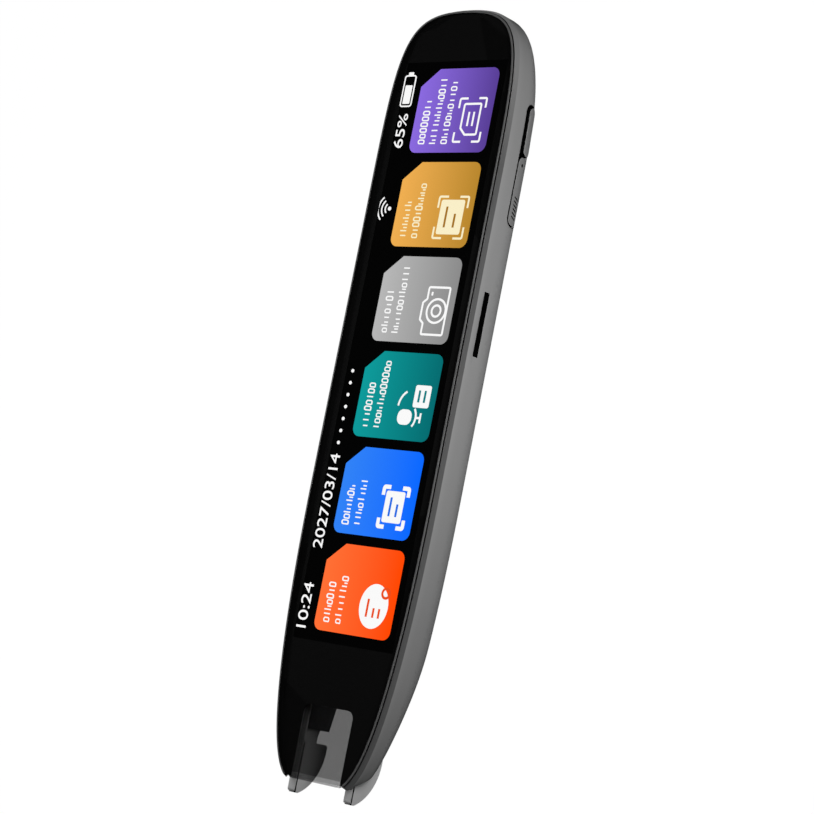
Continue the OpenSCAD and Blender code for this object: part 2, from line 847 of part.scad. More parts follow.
card_out = wall_x - wall - fit;
socket_side = 0.9;
socket_t = 0.2;
socket_end = 1.5;
module card_socket() {
    color("#c2c6ca") difference() {
        box([card_out - card_depth, card_out], [card_low - socket_side, card_top + socket_side],
            [board_face, board_face + card_h]);
        box([card_out - card_depth + socket_end, card_out + slop],
            [card_low + socket_t, card_top - socket_t],
            [board_face + socket_t, board_face + card_h - socket_t]);
    }
}

// Battery
battery_low = nose_boss.y + boss_r + battery_gap;
battery_len = board_low - battery_board_gap - battery_low;
battery_w = 2 * (wall_x - battery_side);
battery_z = wall + pad_t;
battery_round = 1;
terminal_len = 1;
terminal_in = 2;
module battery_cell() {
    color("#b6bcc4") union() {
        along_y(battery_low, battery_low + battery_len)
            translate([0, battery_z + battery_t / 2])
                rounded_rect(battery_w, battery_t, battery_round);
        box([-battery_w / 2 + terminal_in, battery_w / 2 - terminal_in],
            [battery_low + battery_len - eps, battery_low + battery_len + terminal_len],
            [wire_z - wire_r - fit, wire_z + wire_r + fit]);
    }
}

pad_side = 3;
pad_end = 4;
module battery_pad() {
    color("#e8e4d8") box([-battery_w / 2 + pad_side, battery_w / 2 - pad_side],
        [battery_low + pad_end, battery_low + battery_len - pad_end], [wall, battery_z]);
}

wire_r = 0.35;
wire_bow = 0.3;
wire_gap = 0.5;
wire_z = battery_z + battery_t - 1;
plug_in = 4.3;
plug_x = plug_in - battery_w / 2;
plug_w = 3.2;
plug_len = 3;
plug_h = 1.6;
plug_low = board_low + 1.2;
module battery_wire(x, wire_color) {
    start_y = battery_low + battery_len + terminal_len;
    run = plug_low - start_y;
    color(wire_color) tube([
        for (t = [0, 0.15, 0.35, 0.5, 0.65, 0.85, 1])
            [x - wire_bow * max(0, sin(180 * (t - 0.15) / 0.7)), start_y + run * t, wire_z]],
        wire_r, [0, 0, 1]);
}

module battery_wire_red() {
    battery_wire(plug_x + wire_r + wire_gap / 2, "#b01818");
}

module battery_wire_black() {
    battery_wire(plug_x - wire_r - wire_gap / 2, "#181818");
}

module battery_plug() {
    color("#ece8dc") box([plug_x - plug_w / 2, plug_x + plug_w / 2],
        [plug_low, plug_low + plug_len], [board_z - plug_h, board_z]);
}

// Sound
speaker_depth = 4.3;
speaker_z = pocket_z - pocket_w / 2 + 0.3;
module loudspeaker() {
    color("#202020") difference() {
        box([seat_inner - speaker_depth, seat_inner - fit],
            [slots_mid - speaker_len / 2, slots_mid + speaker_len / 2],
            [speaker_z, board_z - 0.3]);
        box([seat_inner - 1, seat_inner + slop],
            [slots_mid - speaker_len / 2 + 0.8, slots_mid + speaker_len / 2 - 0.8],
            [speaker_z + 0.4, board_z - 0.7]);
    }
}

module speaker_cone() {
    color("#3a3a3e") translate([seat_inner - 1, slots_mid, (speaker_z + board_z - 0.3) / 2])
        rotate([0, 90, 0]) cylinder(r1 = 1.05, r2 = 0.7, h = 0.6);
}

module speaker_mesh() {
    color("#303030") box([seat_x - 0.3, seat_x - fit],
        [slots_mid - sound_half + fit, slots_mid + sound_half - fit],
        [pocket_z - sound_high + fit, pocket_z + sound_high - fit]);
}

module microphone() {
    color("#d0b060") difference() {
        box([seat_inner - 1, seat_inner - fit], [mic_y - 1.3, mic_y + 1.3],
            [pocket_z - 1.6, pocket_z + 1.6]);
        translate([seat_inner - 0.6, mic_y, pocket_z + 0.3]) rotate([0, 90, 0])
            cylinder(r = mic_hole_r, h = slop);
    }
}

// Side panel and power button
module side_panel() {
    color("#606060") difference() {
        intersection() {
            housing_form();
            along_x(seat_x, far) pocket_shape(panel_low, panel_top, panel_w, pocket_z);
        }
        translate([seat_x - slop, mic_y, pocket_z + 0.3]) rotate([0, 90, 0])
            cylinder(r = mic_hole_r, h = far);
        for (i = [0:slot_count - 1])
            translate([seat_x - slop, pocket_low + slot_up + i * slot_pitch, pocket_z])
                rotate([-slot_slant, 0, 0]) translate([0, -slot_w / 2, -slot_len / 2])
                    cube([far, slot_w, slot_len]);
    }
}

press_room = 0.1;
stem_head_t = 0.35;
stem_head_over = 0.3;
stem_head_gap = 0.15;
stem_back = stem_head_gap + stem_head_t;
module power_button() {
    color("#686868") {
        intersection() {
            loft(levels(-button_proud, glass_proud, 0));
            along_x(seat_x + button_travel + press_room, far)
                pocket_shape(button_low, pocket_top - panel_gap, button_w, button_z);
        }
        translate([seat_inner - stem_back, button_mid, button_z]) rotate([0, 90, 0]) {
            cylinder(r = stem_r, h = seat_t + stem_back + button_travel + press_room + eps);
            cylinder(r = stem_r + stem_head_over, h = stem_head_t);
        }
    }
}

pad_over = 0.6;
module button_return_pad() {
    color("#c8c8c8") translate([seat_x, button_mid, button_z]) rotate([0, 90, 0]) difference() {
        cylinder(r = stem_r + pad_over, h = button_travel + press_room);
        translate([0, 0, -slop]) cylinder(r = stem_r + fit, h = 3 * slop);
    }
}

switch_deep = 1.5;
switch_half = 2;
switch_below = 1.2;
actuator_r = 0.6;
actuator_len = 0.4;
switch_face = seat_inner - stem_back - button_travel - fit - actuator_len;
module button_switch() {
    color("#d9d9d9") {
        box([switch_face - switch_deep, switch_face],
            [button_mid - switch_half, button_mid + switch_half],
            [button_z - switch_below, board_z]);
        translate([switch_face - eps, button_mid, button_z]) rotate([0, 90, 0])
            cylinder(r = actuator_r, h = actuator_len + eps);
    }
}

// Scanning chamber: the wall behind the mouth and its two side cheeks
chamber_front = guide_front - strip_t - strip_gap;
module chamber_cheek() {
    along_x(mouth_half, mouth_half + cheek_t - fit)
        polygon([
            [block_end, back_z(block_end)], [mouth_top + bulkhead_t, back_z(mouth_top)],
            [mouth_top + bulkhead_t, chamber_front], [block_end, chamber_front]]);
}

camera_z = (back_z(mouth_top) + wall + yoke_front - yoke_h) / 2;
module scan_chamber() {
    color("#4a4a4a") {
        both_sides() chamber_cheek();
        difference() {
            box([-mouth_half - eps, mouth_half + eps], [mouth_top, mouth_top + bulkhead_t],
                [back_z(mouth_top), film_z]);
            translate([0, mouth_top - slop, camera_z]) rotate([-90, 0, 0])
                cylinder(r = lens_r + 0.15, h = bulkhead_t + 2 * slop);
            both_sides() translate([led_x, mouth_top - slop, camera_z]) rotate([-90, 0, 0])
                cylinder(r = 0.9, h = bulkhead_t + 2 * slop);
        }
    }
}

cover_t = 0.4;
module lens_cover() {
    color("#9fb4c0", 0.35) box([-mouth_half + 0.2, mouth_half - 0.2],
        [mouth_top - cover_t, mouth_top],
        [camera_z - lens_r - 0.5, camera_z + lens_r + 0.5]);
}

led_x = 4.6;
light_y = mouth_top + bulkhead_t;
light_t = 0.6;
module light_board() {
    color("#f0efe8") difference() {
        box([-mouth_half, mouth_half], [light_y, light_y + light_t],
            [camera_z - camera_w / 2, camera_z + camera_w / 2]);
        translate([0, light_y - slop, camera_z]) rotate([-90, 0, 0])
            cylinder(r = lens_r + 0.15, h = light_t + 2 * slop);
    }
}

module scan_leds() {
    color("#f4e9a0") both_sides()
        box([led_x - 0.6, led_x + 0.6], [light_y - 0.5, light_y], [camera_z - 0.6, camera_z + 0.6]);
}

camera_y = light_y + light_t;
module camera_module() {
    color("#26282c") box([-camera_w / 2, camera_w / 2], [camera_y, camera_y + camera_len],
        [camera_z - camera_w / 2, camera_z + camera_w / 2]);
}

module camera_lens() {
    color("#101014") translate([0, mouth_top + 0.2, camera_z]) rotate([-90, 0, 0])
        difference() {
            cylinder(r = lens_r, h = camera_y - mouth_top - 0.2);
            translate([0, 0, -slop]) cylinder(r = lens_r * 0.6, h = slop + 0.4);
        }
}

camera_flex_w = 2.6;
module camera_flex() {
    color("#b8651e") box([camera_w / 2 - camera_flex_w - 4 * fit, camera_w / 2 - 4 * fit],
        [camera_y + camera_len, card_low - socket_side - 6 * fit],
        [board_face, board_face + flex_t]);
}

// Switch that the guide presses
tip_switch_w = 3;
plunger_w = 1.2;
plunger_out = 0.4;
tip_switch_y = yoke_top + guide_travel + plunger_out + 2 * fit;
module tip_switch() {
    color("#d9d9d9") {
        box([-tip_switch_w / 2, tip_switch_w / 2], [tip_switch_y, lug_y + lug_t],
            [backlight_z, yoke_front]);
        box([-plunger_w / 2, plunger_w / 2], [tip_switch_y - plunger_out, tip_switch_y + eps],
            [yoke_front - plunger_w / 2 - 0.1, yoke_front - 0.2]);
    }
}

// Scanning guide
pin_r = 0.35;
fin_groove_w = 0.35;
fin_groove_d = 0.25;
fin_lip = 0.15;
module fin_profile() {
    offset(r = fin_round) offset(delta = -fin_round) intersection() {
        translate([fin_top - fin_back, body_t - fin_depth + fin_r]) circle(r = fin_r, $fn = 96);
        translate([tip_y, 0]) square([fin_top - tip_y, guide_front]);
    }
}

module guide_fin() {
    color("#787878") difference() {
        union() {
            along_x(mouth_half, fin_out) fin_profile();
            box([arm_in, fin_out], [fin_top - 2, yoke_top], [arm_low, guide_front]);
            box([mouth_half, fin_out], [fin_top - 2, strip_end], [guide_front - strip_t, guide_front]);
            box([arm_in, fin_out], [yoke_low, yoke_top], [guide_front - eps, yoke_front]);
        }
        for (x = [mouth_half - slop, fin_out - fin_groove_d])
            box([x, x + slop + fin_groove_d], [tip_y - slop, fin_top - fin_lip],
                [guide_front - fin_lip - fin_groove_w, guide_front - fin_lip]);
        translate([arm_in - slop, yoke_low + yoke_len / 2, yoke_front - yoke_h / 2])
            rotate([0, 90, 0]) cylinder(r = pin_r + fit / 2, h = arm_t + 2 * slop);
    }
}

module guide_fin_left() {
    mirror([1, 0, 0]) guide_fin();
}

module guide_fin_right() {
    guide_fin();
}

module guide_yoke() {
    color("#3a3a3a") {
        box([-arm_in, arm_in], [yoke_low, yoke_top], [yoke_front - yoke_h, yoke_front]);
        both_sides() translate([arm_in - eps, yoke_low + yoke_len / 2, yoke_front - yoke_h / 2])
            rotate([0, 90, 0]) cylinder(r = pin_r, h = arm_t - fit + eps);
    }
}

spring_turns = 5;
steps_per_turn = 12;
module guide_spring() {
    steps = spring_turns * steps_per_turn;
    run = spring_len - 2 * spring_wire - 2 * fit;
    color("#c9ccd0") tube([
        for (i = [0:steps])
            let (a = 360 * i / steps_per_turn)
                [spring_x + spring_r * cos(a),
                 yoke_top + spring_wire + fit + run * i / steps,
                 spring_z + spring_r * sin(a)]],
        spring_wire, [0, 1, 0], 6);
}

module guide_spring_left() {
    mirror([1, 0, 0]) guide_spring();
}

module guide_spring_right() {
    guide_spring();
}

back_shell();
front_bezel();
cover_glass();
border_film();
window_tint();
lcd_panel();
backlight();
display_flex();
display_connector();
chassis();
chassis_screws();
main_board();
board_screws();
processor();
memory_chip();
storage_chip();
power_controller();
wireless_shield();
board_coils();
antenna();
card_socket();
usb_receptacle();
usb_tongue();
battery_cell();
battery_pad();
battery_wire_red();
battery_wire_black();
battery_plug();
loudspeaker();
speaker_cone();
speaker_mesh();
microphone();
side_panel();
power_button();
button_return_pad();
button_switch();
scan_chamber();
lens_cover();
camera_module();
camera_lens();
camera_flex();
light_board();
scan_leds();
tip_switch();
guide_yoke();
guide_fin_left();
guide_fin_right();
guide_spring_left();
guide_spring_right();
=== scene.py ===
import math

import bmesh
import bpy
from mathutils import Matrix, Vector
from mathutils.bvhtree import BVHTree


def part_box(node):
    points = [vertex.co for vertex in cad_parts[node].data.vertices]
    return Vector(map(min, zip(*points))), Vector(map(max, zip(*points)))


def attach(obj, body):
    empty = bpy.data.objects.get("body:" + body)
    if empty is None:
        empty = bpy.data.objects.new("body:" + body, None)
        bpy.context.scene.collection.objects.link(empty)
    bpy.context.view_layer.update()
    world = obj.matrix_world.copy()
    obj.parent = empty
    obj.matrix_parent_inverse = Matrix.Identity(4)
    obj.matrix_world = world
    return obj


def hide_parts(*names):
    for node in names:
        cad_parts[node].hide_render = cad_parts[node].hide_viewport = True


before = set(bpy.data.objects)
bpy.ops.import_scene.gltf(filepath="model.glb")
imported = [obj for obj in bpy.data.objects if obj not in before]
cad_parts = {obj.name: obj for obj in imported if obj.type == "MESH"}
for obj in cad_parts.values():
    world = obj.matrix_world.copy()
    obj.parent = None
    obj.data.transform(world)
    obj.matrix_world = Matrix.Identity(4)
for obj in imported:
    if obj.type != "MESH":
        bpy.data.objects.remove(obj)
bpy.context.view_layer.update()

# Looks of the scanning translator pen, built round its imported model.
# Sizes are in millimetres in the model's own frame: +Z runs from the back to the cover glass,
# +Y from the scanning nose to the crown, and +X points to the side with the power button.
MM = 0.001
SCENE = bpy.context.scene


def shown(name, data):
    """A new object in the scene."""
    thing = bpy.data.objects.new(name, data)
    SCENE.collection.objects.link(thing)
    return thing


# ---------------------------------------------------------------- camera

CAMERA_PLACE = Vector((0.306, -0.060145, 0.3528))
CAMERA_RIGHT = Vector((0.752, 0.192, -0.631)).normalized()
CAMERA_UP = Vector((-0.063, 0.973, 0.221))
CAMERA_LENS = 108.49
SENSOR = 36


def place_camera():
    data = bpy.data.cameras.new("camera")
    data.lens = CAMERA_LENS
    data.sensor_width = SENSOR
    camera = shown("camera", data)
    back = CAMERA_RIGHT.cross(CAMERA_UP).normalized()
    up = back.cross(CAMERA_RIGHT)
    turn = Matrix((CAMERA_RIGHT, up, back)).transposed()
    camera.matrix_world = Matrix.Translation(CAMERA_PLACE) @ turn.to_4x4()
    SCENE.camera = camera


place_camera()


# ---------------------------------------------------------------- sizes

def box_mm(node):
    low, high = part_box(node)
    return low / MM, high / MM


SHELL_HIGH = box_mm("back_shell")[1]
BEZEL_LOW, BEZEL_HIGH = box_mm("front_bezel")
GLASS_LOW, GLASS_HIGH = box_mm("cover_glass")
FILM_LOW, FILM_HIGH = box_mm("border_film")
PANEL_LOW, PANEL_HIGH = box_mm("side_panel")
BUTTON_LOW, BUTTON_HIGH = box_mm("power_button")
LCD_LOW, LCD_HIGH = box_mm("lcd_panel")
TINT_LOW, TINT_HIGH = box_mm("window_tint")
FIN_LOW, FIN_HIGH = box_mm("guide_fin_right")
CHAMBER_HIGH = box_mm("scan_chamber")[1]

# Housing form
FLARE = 0.65
WALL = 1.2
CORNER_DEEP = 6.9
CORNER_SIDE = 6.2
CORNER_END = 9.9
CROWN_REACH = 46.1
CROWN_HANDLE = 16.6
SHOULDER_HANDLE = 38.1
NOSE_REACH = 55.9
FLANK_HANDLE = 24.9
NOSE_HALF = 6.2
NOSE_HANDLE = 7.4
NOSE_RISE = 2.6
NOSE_THIN = 0.37
NOSE_SLOPE = 28.6
CROWN_THIN = 0.19
CROWN_SLOPE = 21.5
GLASS_INSET = 0.36
BODY_T = GLASS_HIGH.z
CREASE = BODY_T - SHELL_HIGH.z
CROWN_Y = SHELL_HIGH.y
RIM_TOP = CROWN_Y - FLARE
HALF_W = BEZEL_HIGH.x - FLARE
NOSE_Y = GLASS_LOW.y - GLASS_INSET
WAIST_TOP = RIM_TOP - CROWN_REACH
WAIST_LOW = NOSE_Y + NOSE_REACH

# Smoothness
CURVE_STEPS = 44
STRAIGHT_STEPS = 12
CORNER_STEPS = 18
ARC_STEPS = 8
SHARP_ANGLE = math.radians(32)
FAR = 60


# ---------------------------------------------------------------- making meshes

def cleaned(mesh, merge=0, flat=0, outward=True):
    """Merge a mesh's near points, clear its flat edges and turn its faces outwards, as asked."""
    solid = bmesh.new()
    solid.from_mesh(mesh)
    if merge:
        bmesh.ops.remove_doubles(solid, verts=solid.verts, dist=merge)
    if flat:
        bmesh.ops.dissolve_limit(solid, angle_limit=flat, verts=solid.verts, edges=solid.edges)
    if outward:
        bmesh.ops.recalc_face_normals(solid, faces=solid.faces)
    solid.to_mesh(mesh)
    solid.free()
    return mesh


def put(name, points, faces):
    """A closed mesh object from points in millimetres, with its faces turned outwards."""
    mesh = bpy.data.meshes.new(name)
    mesh.from_pydata([Vector(p) * MM for p in points], [], faces)
    return shown(name, cleaned(mesh))


def baked(thing):
    """Apply the modifiers by turning the evaluated object into a plain mesh."""
    graph = bpy.context.evaluated_depsgraph_get()
    graph.update()
    mesh = bpy.data.meshes.new_from_object(thing.evaluated_get(graph), depsgraph=graph)
    if thing.type == "MESH":
        thing.modifiers.clear()
        thing.data = mesh
        return thing
    fresh = shown(thing.name, mesh)
    bpy.data.objects.remove(thing)
    return fresh


def carve(thing, cutters, operation="DIFFERENCE"):
    for cutter in cutters:
        modifier = thing.modifiers.new("carve", "BOOLEAN")
        modifier.operation = operation
        modifier.solver = "EXACT"
        modifier.object = cutter
    baked(thing)
    for cutter in cutters:
        bpy.data.objects.remove(cutter)
    return thing


def soften(thing, width, segments=2, angle=40):
    """Round the sharp edges."""
    modifier = thing.modifiers.new("soften", "BEVEL")
    modifier.width = width * MM
    modifier.segments = segments
    modifier.limit_method = "ANGLE"
    modifier.angle_limit = math.radians(angle)
    return baked(thing)


def smooth(thing, angle=SHARP_ANGLE):
    thing.data.shade_smooth()
    thing.data.set_sharp_from_angle(angle=angle)
    return thing


def along(axis, a, b, h):
    """A point at a height along one axis, with its other two coordinates in their order."""
    return {"x": (h, a, b), "y": (a, h, b), "z": (a, b, h)}[axis]


def prism(name, shape, low, high, axis="z"):
    """A shape drawn in the other two axes, in their order, drawn out along one axis."""
    n = len(shape)
    points = [along(axis, a, b, h) for h in (low, high) for a, b in shape]
    faces = [list(range(n))[::-1], list(range(n, 2 * n))]
    faces += [[i, (i + 1) % n, n + (i + 1) % n, n + i] for i in range(n)]
    return put(name, points, faces)


def block(name, x, y, z):
    return prism(name, [(x[0], y[0]), (x[1], y[0]), (x[1], y[1]), (x[0], y[1])], z[0], z[1])


def rounded_rect(a, b, r, steps=ARC_STEPS):
    """A rectangle between two ranges, with round corners."""
    corners = [(a[1] - r, b[1] - r, 0), (a[0] + r, b[1] - r, 90),
               (a[0] + r, b[0] + r, 180), (a[1] - r, b[0] + r, 270)]
    return [(ca + r * math.cos(math.radians(start + 90 * i / steps)),
             cb + r * math.sin(math.radians(start + 90 * i / steps)))
            for ca, cb, start in corners for i in range(steps + 1)]


def circle(a, b, r, steps=32):
    return [(a + r * math.cos(2 * math.pi * i / steps), b + r * math.sin(2 * math.pi * i / steps))
            for i in range(steps)]


def loft(name, rings, strip_end=False):
    """Skin closed rings of equally many points, from the top ring down, with both ends closed."""
    n = len(rings[0])
    faces = [list(range(n))[::-1]]
    for k in range(len(rings) - 1):
        a, b = k * n, (k + 1) * n
        faces += [[a + j, a + (j + 1) % n, b + (j + 1) % n, b + j] for j in range(n)]
    last = (len(rings) - 1) * n
    if strip_end:
        faces.append([last, last + 1, last + n - 1])
        faces += [[last + i, last + i + 1, last + n - i - 1, last + n - i] for i in range(1, n // 2)]
    else:
        faces.append([last + j for j in range(n)])
    return put(name, [p for ring in rings for p in ring], faces)


def coat(thing, material):
    """Give a thing one material all over."""
    thing.data.materials.clear()
    thing.data.materials.append(material)


def paint(thing, material, test):
    """Give a material to the faces whose middle and normal pass a test, in millimetres."""
    thing.data.materials.append(material)
    index = len(thing.data.materials) - 1
    for face in thing.data.polygons:
        if test(face.center / MM, face.normal):
            face.material_index = index


def within(value, span, margin=0.0):
    return span[0] - margin <= value <= span[1] + margin


# ---------------------------------------------------------------- housing form

def bezier(a, b, c, d, steps=CURVE_STEPS):
    a, b, c, d = Vector(a), Vector(b), Vector(c), Vector(d)
    points = []
    for i in range(steps + 1):
        t = i / steps
        s = 1 - t
        points.append(s ** 3 * a + 3 * s * s * t * b + 3 * s * t * t * c + t ** 3 * d)
    return points


def front_outline():
    """The front edge, clockwise from the middle of the crown, as points with outward normals."""
    crown = bezier((0, RIM_TOP), (CROWN_HANDLE, RIM_TOP),
                   (HALF_W, WAIST_TOP + SHOULDER_HANDLE), (HALF_W, WAIST_TOP))
    nose = bezier((HALF_W, WAIST_LOW), (HALF_W, WAIST_LOW - FLANK_HANDLE),
                  (NOSE_HALF + NOSE_HANDLE, NOSE_Y + NOSE_RISE), (NOSE_HALF, NOSE_Y))
    side = [crown[-1].lerp(nose[0], i / STRAIGHT_STEPS) for i in range(1, STRAIGHT_STEPS)]
    right = crown + side + nose
    points = right + [Vector((-p.x, p.y)) for p in reversed(right[1:])]
    n = len(points)
    outline = []
    for i, p in enumerate(points):
        run = (points[(i + 1) % n] - points[i - 1]).normalized()
        outline.append((p, Vector((-run.y, run.x))))
    return outline


OUTLINE = front_outline()


def smooth_step(u):
    v = max(0, min(1, u))
    return v * v * (3 - 2 * v)


def sunk(depth, y):
    """Height of a depth under the glass face, where crown and nose get thinner."""
    full = (1 - NOSE_THIN * smooth_step((NOSE_Y + NOSE_SLOPE - y) / NOSE_SLOPE)
            - CROWN_THIN * smooth_step((y - CROWN_Y + CROWN_SLOPE) / CROWN_SLOPE))
    return BODY_T - (depth if depth <= CREASE else CREASE + (depth - CREASE) * full)


def form_ring(depth, pull, inset):
    """One level of the housing, pulled in round the back's corner."""
    ring = []
    for p, n in OUTLINE:
        end = RIM_TOP if p.y > 0 else -NOSE_Y
        x = p.x * (1 - pull * (CORNER_SIDE - inset) / HALF_W) + (FLARE - inset) * n.x
        y = p.y * (1 - pull * (CORNER_END - inset) / end) + (FLARE - inset) * n.y
        ring.append((x, y, sunk(depth, y)))
    return ring


def housing_form(name, inset, top):
    start = BODY_T - CORNER_DEEP
    rings = [form_ring(top, 0, inset), form_ring((top + start) / 2, 0, inset), form_ring(start, 0, inset)]
    for i in range(1, CORNER_STEPS + 1):
        a = math.radians(90 * i / CORNER_STEPS)
        rings.append(form_ring(start + (CORNER_DEEP - inset) * math.sin(a), 1 - math.cos(a), inset))
    return loft(name, rings, strip_end=True)


def offset_ring(offset, z):
    return [(p.x + offset * n.x, p.y + offset * n.y, z) for p, n in OUTLINE]


# ---------------------------------------------------------------- materials

def linear(hex_colour):
    """An sRGB hex colour as the linear colour that a shader takes."""
    parts = [int(hex_colour[i:i + 2], 16) / 255 for i in (0, 2, 4)]
    return [c / 12.92 if c <= 0.04045 else ((c + 0.055) / 1.055) ** 2.4 for c in parts] + [1]


def add(tree, kind, sockets=None, **settings):
    """Add a node with its settings. A socket's entry is a value, or another node's output to link."""
    node = tree.nodes.new(kind)
    for name, value in settings.items():
        setattr(node, name, value)
    for key, value in (sockets or {}).items():
        if isinstance(value, bpy.types.NodeSocket):
            tree.links.new(value, node.inputs[key])
        else:
            node.inputs[key].default_value = value
    return node


def new_material(name):
    material = bpy.data.materials.new(name)
    material.use_nodes = True
    material.node_tree.nodes.clear()
    return material, material.node_tree


def ended(material, kind, sockets):
    """Close a material with its last shader."""
    tree = material.node_tree
    add(tree, "ShaderNodeOutputMaterial", {"Surface": add(tree, kind, sockets).outputs[0]})
    return material


def placed(tree):
    """Where a point lies in its object, in metres."""
    return add(tree, "ShaderNodeTexCoord").outputs["Object"]


def noise(tree, place, size, detail=2.0, roughness=0.5):
    """A noise whose lumps are about a size in millimetres."""
    return add(tree, "ShaderNodeTexNoise", {"Vector": place, "Scale": 1 / (size * MM), "Detail": detail,
                                            "Roughness": roughness}).outputs["Fac"]


def carried(tree, value, low, high, start=0.0, end=1.0):
    """A value of one range carried over to another."""
    return add(tree, "ShaderNodeMapRange", {"Value": value, "From Min": start, "From Max": end,
                                            "To Min": low, "To Max": high}).outputs[0]


def figured(tree, operation, a, b):
    return add(tree, "ShaderNodeMath", {0: a, 1: b}, operation=operation).outputs[0]


def mixed(tree, share, a, b):
    return add(tree, "ShaderNodeMix", {0: share, 6: a, 7: b}, data_type="RGBA").outputs[2]


def clouded(tree, share, colour, cloud):
    """A colour that a noise makes a little darker and lighter."""
    dark, light = ([min(1, c * (1 + change)) for c in linear(colour)[:3]] + [1] for change in (-cloud, cloud))
    return mixed(tree, share, dark, light)


def moulded(name, colour, roughness=0.45, grain=0.28, depth=0.006, cloud=0.03, specular=0.5, crown=None):
    """Moulded plastic: an eroded grain in the bump and roughness, and a faint cloud in the colour.

    A crown colour takes over along the last stretch before the crown, as painted light.
    """
    material, tree = new_material(name)
    place = placed(tree)
    eroded = noise(tree, place, grain, 3.0, 0.6)
    bump = add(tree, "ShaderNodeBump", {"Height": eroded, "Distance": depth * MM, "Strength": 1.0})
    tint = clouded(tree, noise(tree, place, 9), colour, cloud)
    if crown:
        y = add(tree, "ShaderNodeSeparateXYZ", {0: place}).outputs["Y"]
        tint = mixed(tree, carried(tree, y, 0, 1, *(at * MM for at in CROWN_LIGHT_FADE)), tint, linear(crown))
    return ended(material, "ShaderNodeBsdfPrincipled",
                 {"Base Color": tint, "Normal": bump.outputs[0], "IOR": 1.5, "Specular IOR Level": specular,
                  "Roughness": carried(tree, eroded, roughness - 0.05, roughness + 0.05, 0.3, 0.7)})


def metal(name, colour, roughness=0.35, brush=0.12):
    """Sheet or turned metal with fine brushed streaks."""
    material, tree = new_material(name)
    stretch = add(tree, "ShaderNodeMapping", {"Vector": placed(tree), "Scale": (1, 8, 1)})
    streaks = noise(tree, stretch.outputs[0], brush)
    return ended(material, "ShaderNodeBsdfPrincipled",
                 {"Base Color": linear(colour), "Metallic": 1.0,
                  "Roughness": carried(tree, streaks, roughness - 0.1, roughness + 0.1)})


def clear_sheet(name, tint="ffffff", roughness=0.03, ior=1.52):
    """A thin clear sheet: light passes straight through it, and its face mirrors the room."""
    material, tree = new_material(name)
    outside = figured(tree, "SUBTRACT", 1.0, add(tree, "ShaderNodeNewGeometry").outputs["Backfacing"])
    mirror = add(tree, "ShaderNodeFresnel", {"IOR": ior})
    through = add(tree, "ShaderNodeBsdfTransparent", {"Color": linear(tint)})
    face = add(tree, "ShaderNodeBsdfPrincipled",
               {"Base Color": linear("ffffff"), "Metallic": 1.0, "Roughness": roughness})
    return ended(material, "ShaderNodeMixShader", {0: figured(tree, "MULTIPLY", mirror.outputs[0], outside),
                                                   1: through.outputs[0], 2: face.outputs[0]})


def smoked(name, colour, cover, end_cover, end_y, fade=0.15):
    """A dyed film that lets a part of the light through, and more of it past its printed end."""
    material, tree = new_material(name)
    place = placed(tree)
    y = add(tree, "ShaderNodeSeparateXYZ", {0: place}).outputs["Y"]
    dyed = carried(tree, y, end_cover, cover, end_y * MM, (end_y + fade) * MM)
    seen = figured(tree, "SUBTRACT", 1.0, add(tree, "ShaderNodeLightPath").outputs["Is Shadow Ray"])
    return ended(material, "ShaderNodeBsdfPrincipled",
                 {"Base Color": linear(colour), "Roughness": carried(tree, noise(tree, place, 6), 0.3, 0.4),
                  "Alpha": figured(tree, "MULTIPLY", dyed, seen), "Specular IOR Level": 0.0})


def glossy(name, colour, roughness=0.2, cloud=0.04):
    """A smooth coated or wet-looking surface: insulation, solder mask, foil."""
    material, tree = new_material(name)
    cloudy = noise(tree, placed(tree), 3, 3.0)
    return ended(material, "ShaderNodeBsdfPrincipled",
                 {"Base Color": clouded(tree, cloudy, colour, cloud), "IOR": 1.5,
                  "Roughness": carried(tree, cloudy, roughness - 0.05, roughness + 0.1)})


def woven(name, colour, pitch=0.25):
    """A fine mesh: a checker of threads and holes."""
    material, tree = new_material(name)
    base = linear(colour)
    threads = add(tree, "ShaderNodeTexChecker", {"Vector": placed(tree), "Scale": 1 / (pitch * MM),
                                                 "Color1": base, "Color2": [c * 0.3 for c in base[:3]] + [1]})
    return ended(material, "ShaderNodeBsdfPrincipled", {"Base Color": threads.outputs[0], "Roughness": 0.8})


def lit(name, colour, strength=1.0):
    """Lit ink on the display."""
    material = new_material(name)[0]
    return ended(material, "ShaderNodeEmission", {"Color": linear(colour), "Strength": strength})


CROWN_LIGHT_FADE = (45, 66)     # Y range where the crown's painted light fades in

# Each name says the real finish, or the painted light or shade; the comment says what it gives the eye.
SHELL_ABS = moulded("eroded_abs_shell", "8e8e8e", 0.6, specular=0.0)     # even mid grey without a sheen
BEZEL_SHADE_AND_LIGHT = moulded("satin_abs_bezel", "525252", 0.5, specular=0.3, crown="808080")  # darker grey as painted shade on the slanted band; the crown colour is painted light
RIM_PAINTED_LIGHT = moulded("satin_abs_rim", "666666", 0.4)                        # thin lighter line round the glass: painted light on the bezel's top faces
BUTTON_ABS = moulded("satin_abs_button", "868686", 0.6, specular=0.0)    # near the shell's grey
PAINTED_SHADE_BLACK = moulded("unlit_parting_gap", "060606", 0.9, specular=0.0)    # painted shade: black in the gaps, grooves, slots and holes
FIN_ACETAL = moulded("fine_grain_acetal", "d0d0d0", 0.5)                 # paler than the shell, and dull
CHAMBER_ABS = moulded("matt_abs_chamber", "ececec", 0.6)                 # pale walls seen dimly in the mouth
GLASS = clear_sheet("tempered_glass")                                    # faint mirror over everything black
PRINT = moulded("screen_print_black", "121212", 0.5, specular=0.0)       # near black border
LCD_BLACK = moulded("display_face_black", "020202", 0.5, specular=0.0)   # pure black between the tiles

